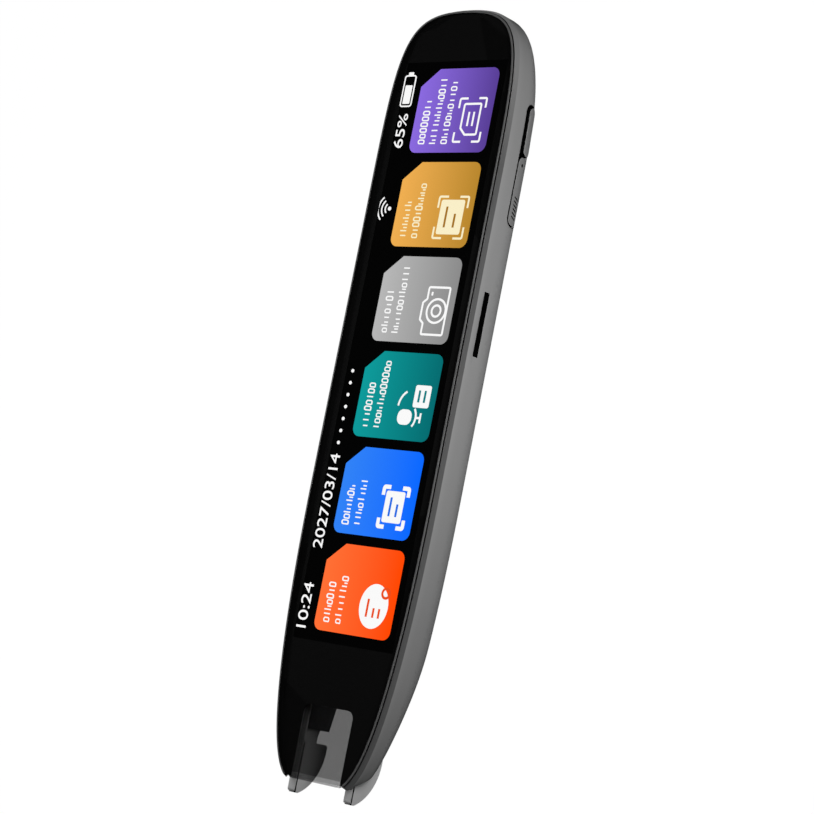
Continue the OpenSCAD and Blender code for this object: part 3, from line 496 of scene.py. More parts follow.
NODE_LOOKS = [
    (moulded("diffuser_white", "e8e8e8", 0.6), ["backlight"]),
    (glossy("polyimide_amber", "b8762e", 0.3), ["display_flex", "camera_flex", "antenna"]),
    (moulded("ivory_nylon", "e0dac8", 0.5), ["display_connector", "battery_plug"]),
    (metal("blasted_aluminium", "a4a8ac", 0.5, 0.3), ["chassis"]),
    (metal("plated_screw_steel", "b4b6ba", 0.3), ["chassis_screws", "board_screws"]),
    (glossy("green_solder_mask", "1f6a42", 0.25), ["main_board"]),
    (moulded("chip_epoxy_black", "202022", 0.5),
     ["processor", "memory_chip", "storage_chip", "power_controller", "usb_tongue"]),
    (metal("tinned_steel", "c0c4c8", 0.35), ["wireless_shield", "card_socket", "usb_receptacle"]),
    (moulded("ferrite_grey", "5a5a60", 0.7), ["board_coils"]),
    (metal("foil_pouch", "b8bcc2", 0.3, 0.6), ["battery_cell"]),
    (moulded("adhesive_foam", "e4e0d4", 0.8), ["battery_pad"]),
    (glossy("red_wire_insulation", "b01818", 0.3), ["battery_wire_red"]),
    (glossy("black_wire_insulation", "1a1a1a", 0.3), ["battery_wire_black"]),
    (moulded("speaker_case_black", "242424", 0.5), ["loudspeaker", "guide_yoke"]),
    (moulded("speaker_membrane", "3c3c40", 0.6), ["speaker_cone"]),
    (woven("acoustic_mesh_black", "303030"), ["speaker_mesh"]),
    (metal("gilt_microphone_can", "cdb06a", 0.3), ["microphone"]),
    (moulded("silicone_grey", "c4c4c4", 0.6), ["button_return_pad"]),
    (moulded("switch_nylon", "d6d6d6", 0.5), ["button_switch", "tip_switch"]),
    (clear_sheet("clear_lens_cover", "d8e4ea"), ["lens_cover"]),
    (moulded("camera_case_black", "26282c", 0.5), ["camera_module"]),
    (glossy("coated_lens", "0c0e18", 0.08), ["camera_lens"]),
    (glossy("white_solder_mask", "efeee6", 0.3), ["light_board"]),
    (glossy("phosphor_yellow", "efdf8a", 0.3), ["scan_leds"]),
    (metal("spring_wire", "c4c6ca", 0.25), ["guide_spring_left", "guide_spring_right"]),
    (LCD_BLACK, ["lcd_panel"]),
]
for look, names in NODE_LOOKS:
    for node in names:
        coat(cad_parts[node], look)


def dress(thing, material, body, slot, *nodes):
    """Give a finished piece its material, its body and the nodes that it stands for; the slot is not used."""
    if not thing.data.materials:
        thing.data.materials.append(material)
    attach(thing, body)
    if nodes:
        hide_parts(*nodes)
    return thing


# ---------------------------------------------------------------- places

LENS_COVER_HIGH = box_mm("lens_cover")[1]
USB_LOW, USB_HIGH = box_mm("usb_receptacle")
BOARD_HIGH = box_mm("main_board")[1]
PANEL_GAP = 0.35
POCKET_Y = (PANEL_LOW.y - PANEL_GAP, BUTTON_HIGH.y + PANEL_GAP)
POCKET_Z = (PANEL_LOW.z - PANEL_GAP, PANEL_HIGH.z + PANEL_GAP)
POCKET_R = 1.7
SEAT_X = PANEL_LOW.x
SEAT_T = 1
SEAT_MARGIN = 1.2
SEAT_TOP = POCKET_Z[1] + 0.7
GUIDE_GAP = 0.2
MOUTH_TOP = LENS_COVER_HIGH.y
SLOT_OUT = FIN_HIGH.x + GUIDE_GAP
CHEEK_OUT = CHAMBER_HIGH.x
ARM_DEPTH = 4.4
GUIDE_FRONT = FILM_LOW.z - 1.65
ARM_LOW = GUIDE_FRONT - ARM_DEPTH
BLOCK_END = -64.2
CUT_SLOPE = 0.76
CUT_DEPTH = 2
CUT_OUT = 0.4
CARD_TOP = CROWN_Y - 55.1
CARD_W = 12.4
CARD_H = 1.5
CARD_Y = (CARD_TOP - CARD_W, CARD_TOP)
CARD_Z = (BOARD_HIGH.z, BOARD_HIGH.z + CARD_H)
CARD_SLOT_R = 0.2
SHELL_EDGE = 0.12
USB_GAP = 0.15


# ---------------------------------------------------------------- back shell

def shell_hollow():
    hollow = housing_form("hollow", WALL, CREASE - 1)
    return carve(hollow, [
        block("nose_solid", (-FAR, FAR), (NOSE_Y - FAR, MOUTH_TOP), (-FAR, FAR)),
        block("seat", (SEAT_X - SEAT_T, FAR), (POCKET_Y[0] - SEAT_MARGIN, POCKET_Y[1] + SEAT_MARGIN),
              (-FAR, SEAT_TOP))])


def nose_cuts():
    low = NOSE_Y - FAR
    slant = [(low, -1), (low, BODY_T - CUT_DEPTH),
             (NOSE_Y + CUT_DEPTH * CUT_SLOPE - CUT_OUT, BODY_T - CUT_DEPTH),
             (NOSE_Y + (BODY_T + 1) * CUT_SLOPE - CUT_OUT, -1)]
    return [
        prism("slant", slant, -FAR, FAR, "x"),
        block("fin_room", (-SLOT_OUT, SLOT_OUT), (low, BLOCK_END), (-FAR, FAR)),
        block("arm_slots", (-SLOT_OUT, SLOT_OUT), (low, MOUTH_TOP + 1), (ARM_LOW - GUIDE_GAP, FAR)),
        block("mouth", (-CHEEK_OUT, CHEEK_OUT), (low, CHAMBER_HIGH.y), (-FAR, FAR))]


outer = housing_form("back_shell_body", 0, CREASE)
wall_face = BVHTree.FromObject(outer, bpy.context.evaluated_depsgraph_get())
usb_z = (USB_LOW.z + USB_HIGH.z) / 2
usb_half = (USB_HIGH.z - USB_LOW.z) / 2 + USB_GAP
carve(outer, [
    shell_hollow(),
    *nose_cuts(),
    prism("card_slot", rounded_rect(CARD_Y, CARD_Z, CARD_SLOT_R), HALF_W - WALL - 1, FAR, "x"),
    prism("pocket", rounded_rect(POCKET_Y, POCKET_Z, POCKET_R), SEAT_X, FAR, "x"),
    prism("port", rounded_rect((USB_LOW.x - USB_GAP, USB_HIGH.x + USB_GAP),
                               (usb_z - usb_half, usb_z + usb_half), usb_half - 0.01),
          USB_LOW.y, CROWN_Y + 1, "y")])
soften(outer, SHELL_EDGE)
smooth(outer)
coat(outer, SHELL_ABS)


def wall_at(y, z):
    """How far out the plain right wall stands, or None past it."""
    hit = wall_face.ray_cast(Vector((FAR, y, z)) * MM, Vector((-1, 0, 0)))[0]
    return hit and hit.x / MM


def in_side_opening(p, n):
    """Walls and floors of the pocket and the card slot, inside the side wall, which get painted shade."""
    pocket = within(p.y, POCKET_Y, 0.05) and within(p.z, (POCKET_Z[0] + 0.5, POCKET_Z[1]), 0.05)
    card = within(p.y, CARD_Y, 0.05) and within(p.z, CARD_Z, 0.05)
    wall = wall_at(p.y, p.z)
    deep = wall - p.x if wall else 0
    return p.x > 0 and (pocket or card) and (abs(n.x) < 0.8 or deep > 0.5) and deep > 0.01


# painted shade: the pocket and the card slot are black inside
paint(outer, PAINTED_SHADE_BLACK, in_side_opening)
dress(outer, SHELL_ABS, "housing", "shell_plastic", "back_shell")


# ---------------------------------------------------------------- geometry nodes

def new_tree(name, **kinds):
    """A geometry tree with a named input for each size, of the kind that is given."""
    tree = bpy.data.node_groups.new(name, "GeometryNodeTree")
    tree.interface.new_socket("Geometry", in_out="INPUT", socket_type="NodeSocketGeometry")
    for label, kind in kinds.items():
        tree.interface.new_socket(label, in_out="INPUT", socket_type="NodeSocket" + kind)
    tree.interface.new_socket("Geometry", in_out="OUTPUT", socket_type="NodeSocketGeometry")
    return tree, add(tree, "NodeGroupInput").outputs


def end_tree(tree, start, geometry):
    """Close a tree: its copies are made real and get the material."""
    real = add(tree, "GeometryNodeRealizeInstances", {"Geometry": geometry})
    painted = add(tree, "GeometryNodeSetMaterial",
                  {"Geometry": real.outputs[0], "Material": start["Material"]})
    add(tree, "NodeGroupOutput", {0: painted.outputs[0]})


def grow(thing, tree, **sizes):
    """Run a tree on an object and keep the result as a plain mesh."""
    modifier = thing.modifiers.new(tree.name, "NODES")
    modifier.node_group = tree
    for item in tree.interface.items_tree:
        if item.in_out == "INPUT" and item.name in sizes:
            modifier[item.identifier] = sizes[item.name]
    return baked(thing)


def wires(name, paths):
    """A curve object of straight-line paths in millimetres; a point's fourth number is its radius.

    A path that ends at its own first point is closed.
    """
    curve = bpy.data.curves.new(name, "CURVE")
    curve.dimensions = "3D"
    for path in paths:
        spline = curve.splines.new("POLY")
        spline.use_cyclic_u = path[0] == path[-1]
        used = path[:-1] if spline.use_cyclic_u else path
        spline.points.add(len(used) - 1)
        for point, at in zip(spline.points, used):
            point.co = (*(Vector(at[:3]) * MM), 1)
            point.radius = at[3] if len(at) > 3 else 1
    return shown(name, curve)


def row_tree():
    """A row of copies along Y, each tilted about X."""
    tree, start = new_tree("row", Count="Int", Pitch="Float", Tilt="Float", Material="Material")
    step = add(tree, "ShaderNodeCombineXYZ", {"Y": start["Pitch"]})
    row = add(tree, "GeometryNodeMeshLine", {"Count": start["Count"], "Offset": step.outputs[0]})
    turn = add(tree, "ShaderNodeCombineXYZ", {"X": start["Tilt"]})
    copies = add(tree, "GeometryNodeInstanceOnPoints",
                 {"Points": row.outputs[0], "Instance": start["Geometry"], "Rotation": turn.outputs[0]})
    end_tree(tree, start, copies.outputs[0])
    return tree


def row_of(thing, count, pitch, first, material, tilt=0.0):
    """Make a row of a thing along Y from its first place, in millimetres and degrees."""
    grow(thing, ROW, Count=count, Pitch=pitch * MM, Tilt=math.radians(tilt), Material=material)
    thing.data.transform(Matrix.Translation(Vector(first) * MM))
    return thing


ROW = row_tree()


# ---------------------------------------------------------------- bezel

RIM_Z = BEZEL_HIGH.z
BEZEL_LINE = 0.31
GROOVE_TOP = RIM_Z - 0.12
GROOVE_LOW = GROOVE_TOP - 0.26
GROOVE_IN = 0.12
LEDGE_IN = 1.0
SKIRT_IN = 0.6
BEZEL_END = 6.85
BEZEL_AXIS_Z = 11.2
NUB = 0.5
TIP_STEPS = 7
TIP_TURN = 87             # degrees, so that the tip's last section keeps a little width


def rim_section():
    """The bezel's visible line, as distances out from the front edge and heights."""
    slope = FLARE / (RIM_Z - SHELL_HIGH.z)
    band = slope * (RIM_Z - GROOVE_LOW)
    rim = slope * (RIM_Z - GROOVE_TOP)
    return [(FLARE, SHELL_HIGH.z), (FLARE, SHELL_HIGH.z + 0.03),
            (band, GROOVE_LOW - 0.01), (band - 0.02, GROOVE_LOW), (-GROOVE_IN, GROOVE_LOW),
            (-GROOVE_IN, GROOVE_TOP), (rim, GROOVE_TOP), (rim, GROOVE_TOP + 0.04),
            (0.0, RIM_Z - 0.03), (-0.04, RIM_Z), (-BEZEL_LINE + 0.03, RIM_Z), (-BEZEL_LINE, RIM_Z - 0.03),
            (-BEZEL_LINE, SHELL_HIGH.z)]


def ledge_section():
    """The ledge under the glass and the skirt under it."""
    return [(-BEZEL_LINE - 0.01, FILM_LOW.z), (-LEDGE_IN, FILM_LOW.z), (-LEDGE_IN, BEZEL_LOW.z),
            (-SKIRT_IN, BEZEL_LOW.z), (-SKIRT_IN, SHELL_HIGH.z), (-BEZEL_LINE - 0.01, SHELL_HIGH.z)]


def bezel_path():
    """The front edge from the right end of the nose round the crown to the left end, with thinning tips."""
    side = len(OUTLINE) // 2 + 1
    right = [p for p, n in OUTLINE[:side] if p.x > BEZEL_END + NUB or p.y > 0]
    last = right[-1]
    before = [p for p, n in OUTLINE[:side] if p.x <= BEZEL_END + NUB and p.y < 0]
    toward = (before[0] - last).normalized()
    start = last + toward * 0.05
    radii = [1] * len(right)
    for i in range(TIP_STEPS):
        share = i / (TIP_STEPS - 1)
        right.append(start + toward * NUB * math.sin(math.radians(90 * share)))
        radii.append(math.cos(math.radians(TIP_TURN * share)))
    path = [(p.x, p.y, BEZEL_AXIS_Z, r) for p, r in zip(right, radii)]
    return path[::-1] + [(-x, y, z, r) for x, y, z, r in path[1:]]


def sweep_tree():
    """A section swept along a level path; the section's X points outwards and its Y down."""
    tree, start = new_tree("bezel_sweep", Section="Object", Material="Material")
    upright = add(tree, "GeometryNodeSetCurveNormal", {0: start["Geometry"]}, mode="Z_UP")
    section = add(tree, "GeometryNodeObjectInfo", {"Object": start["Section"]})
    thin = add(tree, "GeometryNodeInputRadius")
    swept = add(tree, "GeometryNodeCurveToMesh",
                {"Curve": upright.outputs[0], "Profile Curve": section.outputs["Geometry"],
                 "Scale": thin.outputs[0], "Fill Caps": True})
    end_tree(tree, start, swept.outputs[0])
    return tree


def swept(name, section, path):
    """A section, as distances out and heights, swept along the front edge."""
    ring = [(out, BEZEL_AXIS_Z - z, 0) for out, z in reversed(section)]
    profile = wires("section", [ring + ring[:1]])
    rail = grow(wires(name, [path]), sweep_tree(), Section=profile, Material=BEZEL_SHADE_AND_LIGHT)
    bpy.data.objects.remove(profile)
    return rail


def joined(name, things):
    """One object made from several, which go away."""
    whole = bmesh.new()
    for thing in things:
        whole.from_mesh(thing.data)
        bpy.data.objects.remove(thing)
    mesh = bpy.data.meshes.new(name)
    whole.to_mesh(mesh)
    whole.free()
    return shown(name, mesh)


def front_bezel():
    path = bezel_path()
    ledge_path = [at for at in path if at[1] > MOUTH_TOP]
    rail = joined("front_bezel_rail", [swept("rim", rim_section(), path),
                                       swept("ledge", ledge_section(), ledge_path)])
    coat(smooth(rail), BEZEL_SHADE_AND_LIGHT)
    # painted light on the top line above the groove; painted shade in the groove and on the inner walls
    paint(rail, RIM_PAINTED_LIGHT, above_groove)
    paint(rail, PAINTED_SHADE_BLACK, in_groove)
    return rail


def above_groove(p, n):
    return p.z > GROOVE_TOP + 0.001


def in_groove(p, n):
    inner_wall = n.x * p.x + n.y * p.y < 0 and abs(n.z) < 0.5
    floor = within(p.z, (GROOVE_LOW, GROOVE_TOP), 0.002) and abs(n.z) > 0.9
    return inner_wall or floor or within(p.z, (GROOVE_LOW, GROOVE_TOP), -0.02)


dress(front_bezel(), BEZEL_SHADE_AND_LIGHT, "housing", "bezel_plastic", "front_bezel")


# ---------------------------------------------------------------- glass and films

WINDOW_TOP = TINT_HIGH.y
WINDOW_HALF = TINT_HIGH.x
WINDOW_R = 1.5
SCREEN_EDGE = 0.4
SCREEN_R = 0.3
SCREEN_X = (LCD_LOW.x + SCREEN_EDGE, LCD_HIGH.x - SCREEN_EDGE)
SCREEN_Y = (LCD_LOW.y + SCREEN_EDGE, LCD_HIGH.y - SCREEN_EDGE)
PRINT_END = GLASS_LOW.y + 1.1


def outline_plate(name, inset, low, high):
    """A flat plate inside the front edge."""
    return loft(name, [offset_ring(-inset, high), offset_ring(-inset, low)])


def window_shape(grow_by=0.0, low=NOSE_Y - 3):
    top, half, r = WINDOW_TOP + grow_by, WINDOW_HALF + grow_by, WINDOW_R + grow_by
    arc = rounded_rect((-half, half), (low, top), r)[:2 * (ARC_STEPS + 1)]
    return [(half, low), *arc, (-half, low)]


cover = outline_plate("cover_glass_pane", GLASS_INSET, GLASS_LOW.z, GLASS_HIGH.z)
dress(smooth(cover), GLASS, "housing", "cover_glass", "cover_glass")

film = outline_plate("border_print_film", GLASS_INSET, FILM_LOW.z, FILM_HIGH.z)
carve(film, [
    prism("screen_opening", rounded_rect(SCREEN_X, SCREEN_Y, SCREEN_R), 0, FAR),
    prism("window_opening", window_shape(0.002), 0, FAR)])
dress(film, PRINT, "housing", "black_print", "border_film")

SMOKED = smoked("smoked_film", "000000", 0.635, 0.5, PRINT_END)      # dark see-through window
tint = prism("smoked_window_film", window_shape(low=GLASS_LOW.y), TINT_LOW.z, TINT_HIGH.z)
dress(tint, SMOKED, "housing", "smoked_film", "window_tint")


# ---------------------------------------------------------------- side panel and button

PAD_R = POCKET_R - PANEL_GAP
PAD_Z = (PANEL_LOW.z + PANEL_HIGH.z) / 2
PANEL_EDGE = 0.16
BUTTON_EDGE = 0.3
BUTTON_PROUD = 0.25
BUTTON_SEAT = 1.2
EDGE_STEPS = 6
FACE_STEPS = 6
SOUND_SLOTS = 6
SLOT_PITCH = 0.75
SLOT_START = POCKET_Y[0] + 1.9
SLOT_LEN = 1.8
SLOT_W = 0.3
SLOT_TILT = -12.7
MIC_Y = POCKET_Y[0] + 12.1
MIC_UP = 0.3
MIC_R = 0.35


def side_pad(name, y, z, proud, edge, base_x):
    """A rounded plate that follows the side wall, with a rounded edge."""
    rings = [[(base_x, a, b) for a, b in rounded_rect(y, z, PAD_R)]]
    half = min(y[1] - y[0], z[1] - z[0]) / 2
    turns = [math.radians(90 * k / (EDGE_STEPS - 1)) for k in range(EDGE_STEPS)]
    insets = [(edge * (1 - math.cos(turn)), edge * (1 - math.sin(turn))) for turn in turns]
    insets += [(edge + (half - edge - 0.03) * k / FACE_STEPS, 0) for k in range(1, FACE_STEPS + 1)]
    for inset, drop in insets:
        level = rounded_rect((y[0] + inset, y[1] - inset), (z[0] + inset, z[1] - inset),
                             max(PAD_R - inset, 0.01))
        rings.append([(wall_at(a, b) + proud - drop, a, b) for a, b in level])
    pad = loft(name, rings)
    pad.data.materials.append(BUTTON_ABS)
    return pad


def faces_the_gap(p, n):
    return abs(n.x) < 0.75 and n.z > -0.3


def with_painted_shade(pad):
    """Smooth a side pad and paint the sides that stand in the gap black, as painted shade."""
    paint(smooth(pad), PAINTED_SHADE_BLACK, faces_the_gap)
    return pad


panel = side_pad("side_panel_cover", (PANEL_LOW.y, PANEL_HIGH.y), (PANEL_LOW.z, PANEL_HIGH.z),
                 0, PANEL_EDGE, SEAT_X)
slot = rounded_rect((-SLOT_W / 2, SLOT_W / 2), (-SLOT_LEN / 2, SLOT_LEN / 2), SLOT_W / 2 - 0.01)
# The slots' walls take the bezel's darker grey, as painted shade inside the slots.
cutters = row_of(prism("sound_slot", slot, SEAT_X - 1, FAR, "x"), SOUND_SLOTS, SLOT_PITCH,
                 (0, SLOT_START, PAD_Z), BEZEL_SHADE_AND_LIGHT, SLOT_TILT)
hole = prism("mic_hole", circle(MIC_Y, PAD_Z + MIC_UP, MIC_R), SEAT_X - 1, FAR, "x")
# painted shade: the hole's walls are black
hole.data.materials.append(PAINTED_SHADE_BLACK)
carve(panel, [cutters, hole])
dress(with_painted_shade(panel), BUTTON_ABS, "housing", "panel_plastic", "side_panel")

button = side_pad("power_button_cap", (BUTTON_LOW.y, BUTTON_HIGH.y), (BUTTON_LOW.z, BUTTON_HIGH.z),
                  BUTTON_PROUD, BUTTON_EDGE, SEAT_X + BUTTON_SEAT)
dress(with_painted_shade(button), BUTTON_ABS, "power_button", "button_plastic", "power_button")


# ---------------------------------------------------------------- scanning nose

def refined(name, node, width, angle=40):
    """A copy of a CAD node with its loose triangles merged and its edges rounded."""
    mesh = cleaned(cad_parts[node].data.copy(), 1e-6, math.radians(1), outward=False)
    return smooth(soften(shown(name, mesh), width, 3, angle))


FIN_EDGE = 0.1
CHAMBER_EDGE = 0.05
FIN_LIP = 0.15
FIN_GROOVE_W = 0.35
FIN_GROOVE_DEEP = (0.04, 0.27)


def in_fin_groove(p, n):
    top = GUIDE_FRONT - FIN_LIP
    deep = min(abs(p.x) - FIN_LOW.x, FIN_HIGH.x - abs(p.x))
    across = within(p.z, (top - FIN_GROOVE_W, top), 0.02)
    return across and within(deep, FIN_GROOVE_DEEP) and abs(n.y) < 0.7


for side in ("left", "right"):
    fin = refined(f"guide_fin_{side}_blade", f"guide_fin_{side}", FIN_EDGE)
    coat(fin, FIN_ACETAL)
    # painted shade: the groove near the fin's front edge is black
    paint(fin, PAINTED_SHADE_BLACK, in_fin_groove)
    dress(fin, FIN_ACETAL, "scan_guide", "fin_plastic", f"guide_fin_{side}")
chamber = refined("scan_chamber_walls", "scan_chamber", CHAMBER_EDGE)
dress(chamber, CHAMBER_ABS, "housing", "chamber_plastic", "scan_chamber")


# ---------------------------------------------------------------- display tiles

TILE_COLOURS = [("8868dc", "573d94"), ("ecac50", "b5842c"), ("b4b4b4", "888888"),
                ("0c9898", "046a6e"), ("3080f2", "0866fc"), ("ff6e34", "ff4600")]
TILES = len(TILE_COLOURS)
TILE_X = (-8.0, 11.02)
TILE_LEN = 16.78
TILE_PITCH = 18.68
TILE_TOP = 64.4
TILE_CUT = (4.2, 3.5)     # across and down
TILE_R = 1.7
INK_Z = FILM_LOW.z
TILE_T = 0.05
INK_T = 0.08


def tile_shape():
    """One tile with its top left corner cut off, about the tile's own middle."""
    w, h = (TILE_X[1] - TILE_X[0]) / 2, TILE_LEN / 2
    shape = rounded_rect((-w, w), (-h, h), TILE_R)
    n = ARC_STEPS + 1
    return shape[:n] + [(-w + TILE_CUT[0], h), (-w, h - TILE_CUT[1])] + shape[2 * n:]


def glowing(name, pairs, strength=1.0):
    """Light with one colour pair for each tile down the screen, the first of a pair at the left."""
    material, tree = new_material(name)
    axes = add(tree, "ShaderNodeSeparateXYZ", {0: placed(tree)}).outputs
    top = TILE_TOP + (TILE_PITCH - TILE_LEN) / 2
    down = carried(tree, axes["Y"], 0, 1, top * MM, (top - TILE_PITCH * TILES) * MM)
    ramps = []
    for side in (0, 1):
        ramp = add(tree, "ShaderNodeValToRGB", {0: down})
        stops = ramp.color_ramp.elements
        ramp.color_ramp.interpolation = "CONSTANT"
        stops[1].position = 1 / TILES
        for i in range(2, TILES):
            stops.new(i / TILES)
        for stop, pair in zip(stops, pairs):
            stop.color = linear(pair[side])
        ramps.append(ramp.outputs[0])
    across = carried(tree, axes["X"], 0, 1, *(x * MM for x in TILE_X))
    return ended(material, "ShaderNodeEmission", {"Color": mixed(tree, across, *ramps), "Strength": strength})


def even(*colours):
    """Colour pairs without a change across the tile."""
    return [(colour, colour) for colour in colours]


TILE_LIGHT = glowing("lit_app_tiles", TILE_COLOURS, 1.1)
tiles = row_of(prism("app_tiles", tile_shape(), 0, TILE_T), TILES, -TILE_PITCH,
               (sum(TILE_X) / 2, TILE_TOP - TILE_LEN / 2, INK_Z), TILE_LIGHT)
dress(tiles, TILE_LIGHT, "housing", "display_panel")


# ---------------------------------------------------------------- display ink
# Generic marks only: corner marks, cards, a page, a camera, a microphone, rows of small
# marks in place of words, and plain numbers. Words run along +Y with their tops toward -X.

INK_W = 0.42
WIDE_INK_W = 0.8
FINE_INK_W = 0.28
MARK_W = 0.5
MARK_T = 0.095
DOT_R = 0.35
DOTS = 7
DOT_PITCH = 2.35
CARD_R = 0.45
LABEL_X = (-4.5, -1.63, 1.15)
LABEL_START = 1.8
LABEL_PITCH = 1.09
LABEL_LENGTHS = [(8.8, 13.1, 12.5), (7.0, 10.6), (8.2, 13.0), (8.6, 13.0), (7.4, 8.8), (7.4, 8.8)]
GLYPH_H = 1.25
GLYPH_W = 0.72
GLYPH_INK = 0.26
GLYPH_SEED = 11


def stroke_tree():
    """Lines drawn with a flat pen along level paths, with round corners."""
    tree, start = new_tree("ink_strokes", Width="Float", Height="Float", Round="Float", Material="Material")
    rounded = add(tree, "GeometryNodeFilletCurve",
                  {"Curve": start["Geometry"], "Count": 4, "Radius": start["Round"], "Limit Radius": True},
                  mode="POLY")
    upright = add(tree, "GeometryNodeSetCurveNormal", {0: rounded.outputs[0]}, mode="Z_UP")
    pen = add(tree, "GeometryNodeCurvePrimitiveQuadrilateral",
              {"Width": start["Width"], "Height": start["Height"]})
    drawn = add(tree, "GeometryNodeCurveToMesh",
                {"Curve": upright.outputs[0], "Profile Curve": pen.outputs[0], "Fill Caps": True})
    end_tree(tree, start, drawn.outputs[0])
    return tree


def strokes(name, paths, width, low=INK_Z + 0.01, high=INK_Z + INK_T, round_by=0.3):
    """Level lines on the display, drawn through points given as x and y."""
    middle = (low + high) / 2
    drawn = grow(wires(name, [[(x, y, middle) for x, y in path] for path in paths]), STROKES,
                 Width=width * MM, Height=(high - low) * MM, Round=round_by * MM, Material=WHITE_INK)
    drawn.data.materials.clear()
    return drawn


def plates(name, shapes, low=INK_Z + 0.01, high=INK_Z + INK_T):
    return joined(name, [prism(name, shape, low, high) for shape in shapes])


def glyph_row_tree():
    """Small marks set along straight lines in a mixed order, some lower than others."""
    tree, start = new_tree("mark_rows", First="Object", Second="Object", Third="Object",
                           Pitch="Float", Seed="Int", Material="Material")
    lines = add(tree, "GeometryNodeMeshToCurve", {0: start["Geometry"]})
    places = add(tree, "GeometryNodeResampleCurve",
                 {"Curve": lines.outputs[0], "Length": start["Pitch"]}, mode="LENGTH")
    shapes = add(tree, "GeometryNodeJoinGeometry")
    for name in ("Third", "Second", "First"):
        shape = add(tree, "GeometryNodeObjectInfo", {"Object": start[name], "As Instance": True})
        tree.links.new(shape.outputs["Geometry"], shapes.inputs[0])
    which = add(tree, "FunctionNodeRandomValue", {4: 0, 5: 2, "Seed": start["Seed"]}, data_type="INT")
    tall = add(tree, "FunctionNodeRandomValue", {2: 0.85, 3: 1.3, "Seed": start["Seed"]}, data_type="FLOAT")
    size = add(tree, "ShaderNodeCombineXYZ", {"X": tall.outputs[1], "Y": 1.0, "Z": 1.0})
    copies = add(tree, "GeometryNodeInstanceOnPoints",
                 {"Points": places.outputs[0], "Instance": shapes.outputs[0], "Pick Instance": True,
                  "Instance Index": which.outputs[2], "Scale": size.outputs[0]})
    end_tree(tree, start, copies.outputs[0])
    return tree


def label_rows():
    """Rows of marks where the names of the tiles stand."""
    h, w = -GLYPH_H, GLYPH_W
    loop = [(0, 0.1), (0, w), (h, w), (h, 0), (0, 0), (0, 0.1)]
    shapes = [strokes("mark_loop", [loop], GLYPH_INK),
              strokes("mark_bar", [[(0, w / 2), (h, w / 2)]], GLYPH_INK),
              strokes("mark_pair", [[(0, 0.05), (h, 0.05)], [(0, w - 0.05), (h * 0.6, w - 0.05)]], GLYPH_INK)]
    points = []
    for k, lengths in enumerate(LABEL_LENGTHS):
        for x, length in zip(LABEL_X, lengths):
            low = tile_low(k) + LABEL_START
            points += [Vector((x, low, 0)) * MM, Vector((x, low + length - GLYPH_W, 0)) * MM]
    mesh = bpy.data.meshes.new("label_rows")
    mesh.from_pydata(points, [(i, i + 1) for i in range(0, len(points), 2)], [])
    rows = shown("label_rows", mesh)
    grow(rows, glyph_row_tree(), First=shapes[0], Second=shapes[1], Third=shapes[2], Pitch=LABEL_PITCH * MM,
         Seed=GLYPH_SEED, Material=WHITE_INK)
    for shape in shapes:
        bpy.data.objects.remove(shape)
    rows.data.materials.clear()
    return rows


def numbers(text, base_x, cap, y):
    """Plain numbers along a range of Y, with their tops a cap height toward -X."""
    curve = bpy.data.curves.new("numbers", "FONT")
    curve.body = text
    curve.extrude = 0.1
    thing = baked(shown("numbers", curve))
    corners = [Vector(c) for c in thing.bound_box]
    low, high = corners[0], corners[6]
    along_y = (y[1] - y[0]) / (high.x - low.x)
    up = cap / (high.y - low.y)
    for point in thing.data.vertices:
        x, v, z = point.co
        point.co = Vector((base_x - (v - low.y) * up, y[0] + (x - low.x) * along_y,
                           INK_Z + 0.01 + (z - low.z) / (high.z - low.z) * (INK_T - 0.01))) * MM
    cleaned(thing.data, 1e-7)
    return thing


def tile_low(k):
    return TILE_TOP - TILE_LEN - TILE_PITCH * k


def on_tile(k, *shapes):
    """Shapes drawn from a tile's lower edge, moved to their tile."""
    return [[(x, y + tile_low(k)) for x, y in shape] for shape in shapes]


def corner_marks(x, y, arm):
    """Four corner marks of a frame."""
    return [[(a + da * arm, b), (a, b), (a, b + db * arm)]
            for a, da in ((x[0], 1), (x[1], -1)) for b, db in ((y[0], 1), (y[1], -1))]


def closed(points):
    return points + points[:1]


def arc(x, y, r, middle, half, steps=10):
    return [(x + r * math.cos(math.radians(middle - half + 2 * half * i / steps)),
             y + r * math.sin(math.radians(middle - half + 2 * half * i / steps))) for i in range(steps + 1)]


def bars(y, *x):
    return [[(a, y[0]), (a, y[1])] for a in x]


WHITE_INK = lit("lit_white_ink", "ffffff")
STROKES = stroke_tree()
page = closed([(5.3, 3.5), (8.1, 3.5), (8.1, 9.6), (4.0, 9.6), (4.0, 4.8)])
camera_outline = closed([(9.4, 1.75), (9.4, 10.9), (4.2, 10.9), (4.2, 8.6), (3.3, 7.9), (3.3, 4.6),
                         (4.2, 3.9), (4.2, 1.75)])
thin = (on_tile(0, *corner_marks((2.7, 9.2), (2.1, 10.7), 1.9), page, *bars((5.2, 8.0), 5.5, 6.7))
        + on_tile(1, *corner_marks((2.35, 9.6), (1.8, 9.95), 2.2))
        + on_tile(2, camera_outline, closed(circle(6.9, 6.35, 2.3, 24)), closed(circle(6.9, 6.35, 1.1, 16)),
                  *bars((9.3, 10.0), 5.2))
        + on_tile(3, arc(4.25, 4.45, 2.75, 0, 38), [(7.0, 4.45), (8.1, 4.45)], *bars((3.5, 5.4), 8.1),
                  arc(5.6, 6.4, 3.4, 150, 28)))
wide = on_tile(4, *corner_marks((2.85, 9.0), (2.15, 9.7), 1.6))
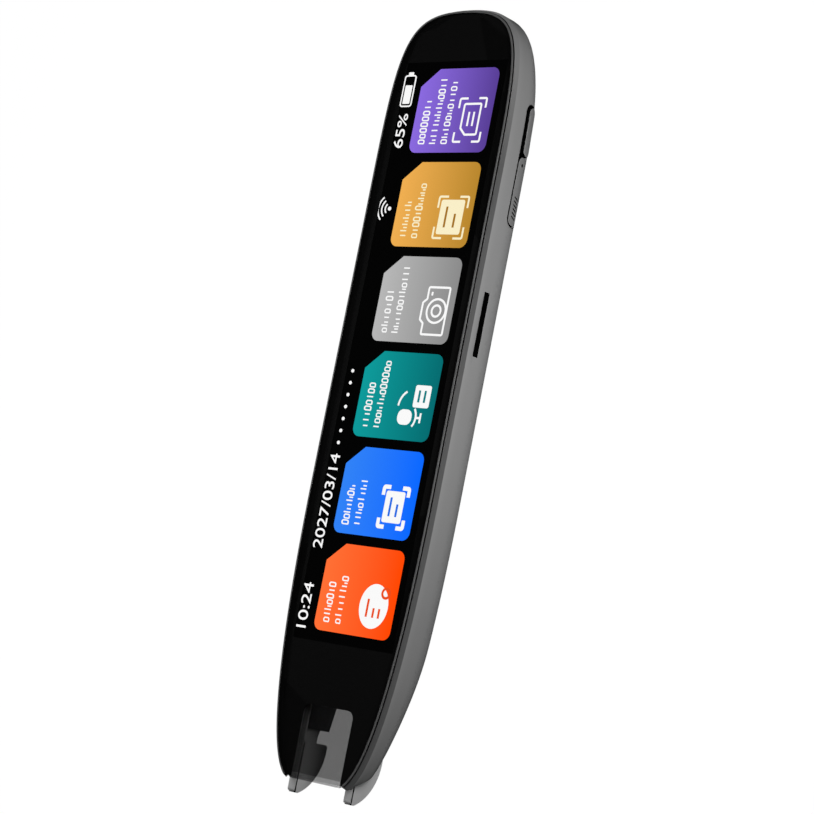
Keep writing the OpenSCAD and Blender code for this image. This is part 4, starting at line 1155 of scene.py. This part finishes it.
cards = (on_tile(1, rounded_rect((3.0, 8.8), (2.55, 9.35), CARD_R))
         + on_tile(3, rounded_rect((2.5, 6.0), (2.95, 5.9), 1.3),
                   rounded_rect((5.7, 9.6), (6.4, 10.7), CARD_R))
         + on_tile(4, rounded_rect((3.6, 8.25), (3.0, 9.0), CARD_R))
         + on_tile(5, [(5.84 + 3.5 * x, 5.92 + 4.2 * y) for x, y in circle(0, 0, 1, 40)]))
ink = joined("display_drawings", [strokes("thin", thin, INK_W), strokes("wide", wide, WIDE_INK_W),
                                  plates("cards", cards), label_rows()])
INK = glowing("lit_tile_ink", even("ffffff", "fff4cc", *["ffffff"] * 4))
dress(ink, INK, "housing", "display_panel")

on_cards = (on_tile(1, *bars((3.9, 8.0), 4.7), *bars((3.9, 6.6), 6.9))
            + on_tile(3, *bars((7.4, 9.7), 6.9, 8.3))
            + on_tile(4, *bars((4.2, 7.8), 5.1), *bars((4.2, 6.6), 6.8))
            + on_tile(5, *bars((3.8, 7.2), 4.4), *bars((3.8, 5.6), 6.0, 7.4),
                      closed(circle(8.27, 8.6, 0.9, 20))))
marks = strokes("display_card_marks", on_cards, MARK_W, INK_Z + TILE_T, INK_Z + MARK_T)
MARKS = glowing("lit_card_marks", even("573d94", "a87624", "888888", "078084", "1f6fe8", "f0501c"))
dress(marks, MARKS, "housing", "display_panel")

battery = closed(rounded_rect((-12.55, -9.8), (57.05, 63.25), 0.5))
signal = [arc(-9.9, 36.4, r, 180, 50) for r in (1.1, 2.0, 2.9)]
status = joined("display_status_line", [
    strokes("status", [battery, *signal], FINE_INK_W),
    plates("status", [rounded_rect((-12.05, -10.3), (57.55, 61.3), 0.15),
                      rounded_rect((-11.8, -10.55), (63.4, 63.95), 0.1), circle(-9.9, 36.4, 0.4, 16),
                      *[circle(-11, -10 + DOT_PITCH * i, DOT_R, 16) for i in range(DOTS)]]),
    numbers("65%", -9.9, 2.3, (48.6, 55.5)), numbers("2027/03/14", -9.85, 2.4, (-30.5, -12.2)),
    numbers("10:24", -9.95, 2.45, (-45.85, -37.2))])
dress(status, WHITE_INK, "housing", "display_panel")


# ---------------------------------------------------------------- floor and light

FLOOR_HALF = 3000
FLOOR_Z = (-20, -0.02)
FLOOR_SHARE = 0.8         # the rest of the floor takes the object's shadow
FLOOR_SHINE = 1.25
ROOM_LIGHT = 0.04
ROOM_MIRRORED = 0.015     # nearly dark, so that the glass stays black

# Lamps, in metres. A strip stands beside each side wall and is aimed at it.
STRIP_OUT, STRIP_UP = 0.105, 0.058
AIM_OUT, AIM_UP = 0.016, 0.005
STRIPS = [("key", 1, 0.02), ("far_side", -1, 0)]
STRIP_SIZE = (0.12, 0.03)
STRIP_POWER = 0.125
TOP_PLACE = (-0.1, 0.3, 0.9)
TOP_SIZE = (0.4, 0.4)
TOP_POWER = 0.35


def area_light(name, place, target, size, power):
    data = bpy.data.lights.new(name, "AREA")
    data.shape = "RECTANGLE"
    data.size, data.size_y = size
    data.energy = power
    lamp = shown(name, data)
    lamp.visible_camera = False
    lamp.visible_glossy = False           # the black glass mirrors no lamp
    lamp.location = place
    lamp.rotation_euler = (Vector(target) - Vector(place)).to_track_quat("-Z", "Y").to_euler()


def background_rays(tree, *kinds):
    """1 for rays that show the background as it is, 0 for rays that light the object."""
    seen = add(tree, "ShaderNodeLightPath").outputs
    total = seen["Is Camera Ray"]
    for kind in kinds:
        total = figured(tree, "MAXIMUM", total, seen[kind])
    return total


def pale_floor():
    material, tree = new_material("pale_matt_floor")
    matt = add(tree, "ShaderNodeBsdfDiffuse", {"Color": linear("484848")})
    bright = add(tree, "ShaderNodeEmission", {"Color": linear("ffffff"), "Strength": FLOOR_SHINE})
    pale_rays = background_rays(tree, "Is Glossy Ray", "Is Transmission Ray")
    share = figured(tree, "MULTIPLY", pale_rays, FLOOR_SHARE)
    floor = block("floor", (-FLOOR_HALF, FLOOR_HALF), (-FLOOR_HALF, FLOOR_HALF), FLOOR_Z)
    floor.data.materials.append(ended(material, "ShaderNodeMixShader",
                                      {0: share, 1: matt.outputs[0], 2: bright.outputs[0]}))


def studio():
    pale_floor()
    world = bpy.data.worlds.new("studio")
    SCENE.world = world
    world.use_nodes = True
    tree = world.node_tree
    tree.nodes.clear()
    mirrored = add(tree, "ShaderNodeLightPath").outputs["Is Glossy Ray"]
    room = add(tree, "ShaderNodeMix", {0: mirrored, 2: ROOM_LIGHT, 3: ROOM_MIRRORED}, data_type="FLOAT")
    strength = add(tree, "ShaderNodeMix", {0: background_rays(tree, "Is Transmission Ray"),
                                           2: room.outputs[0], 3: 1.0}, data_type="FLOAT")
    air = add(tree, "ShaderNodeBackground", {"Color": linear("ffffff"), "Strength": strength.outputs[0]})
    add(tree, "ShaderNodeOutputWorld", {"Surface": air.outputs[0]})
    for name, side, y in STRIPS:
        area_light(name, (side * STRIP_OUT, y, STRIP_UP), (side * AIM_OUT, y, AIM_UP),
                   STRIP_SIZE, STRIP_POWER)
    area_light("top", TOP_PLACE, (0, 0, 0), TOP_SIZE, TOP_POWER)


studio()
SCENE.view_settings.view_transform = "Standard"
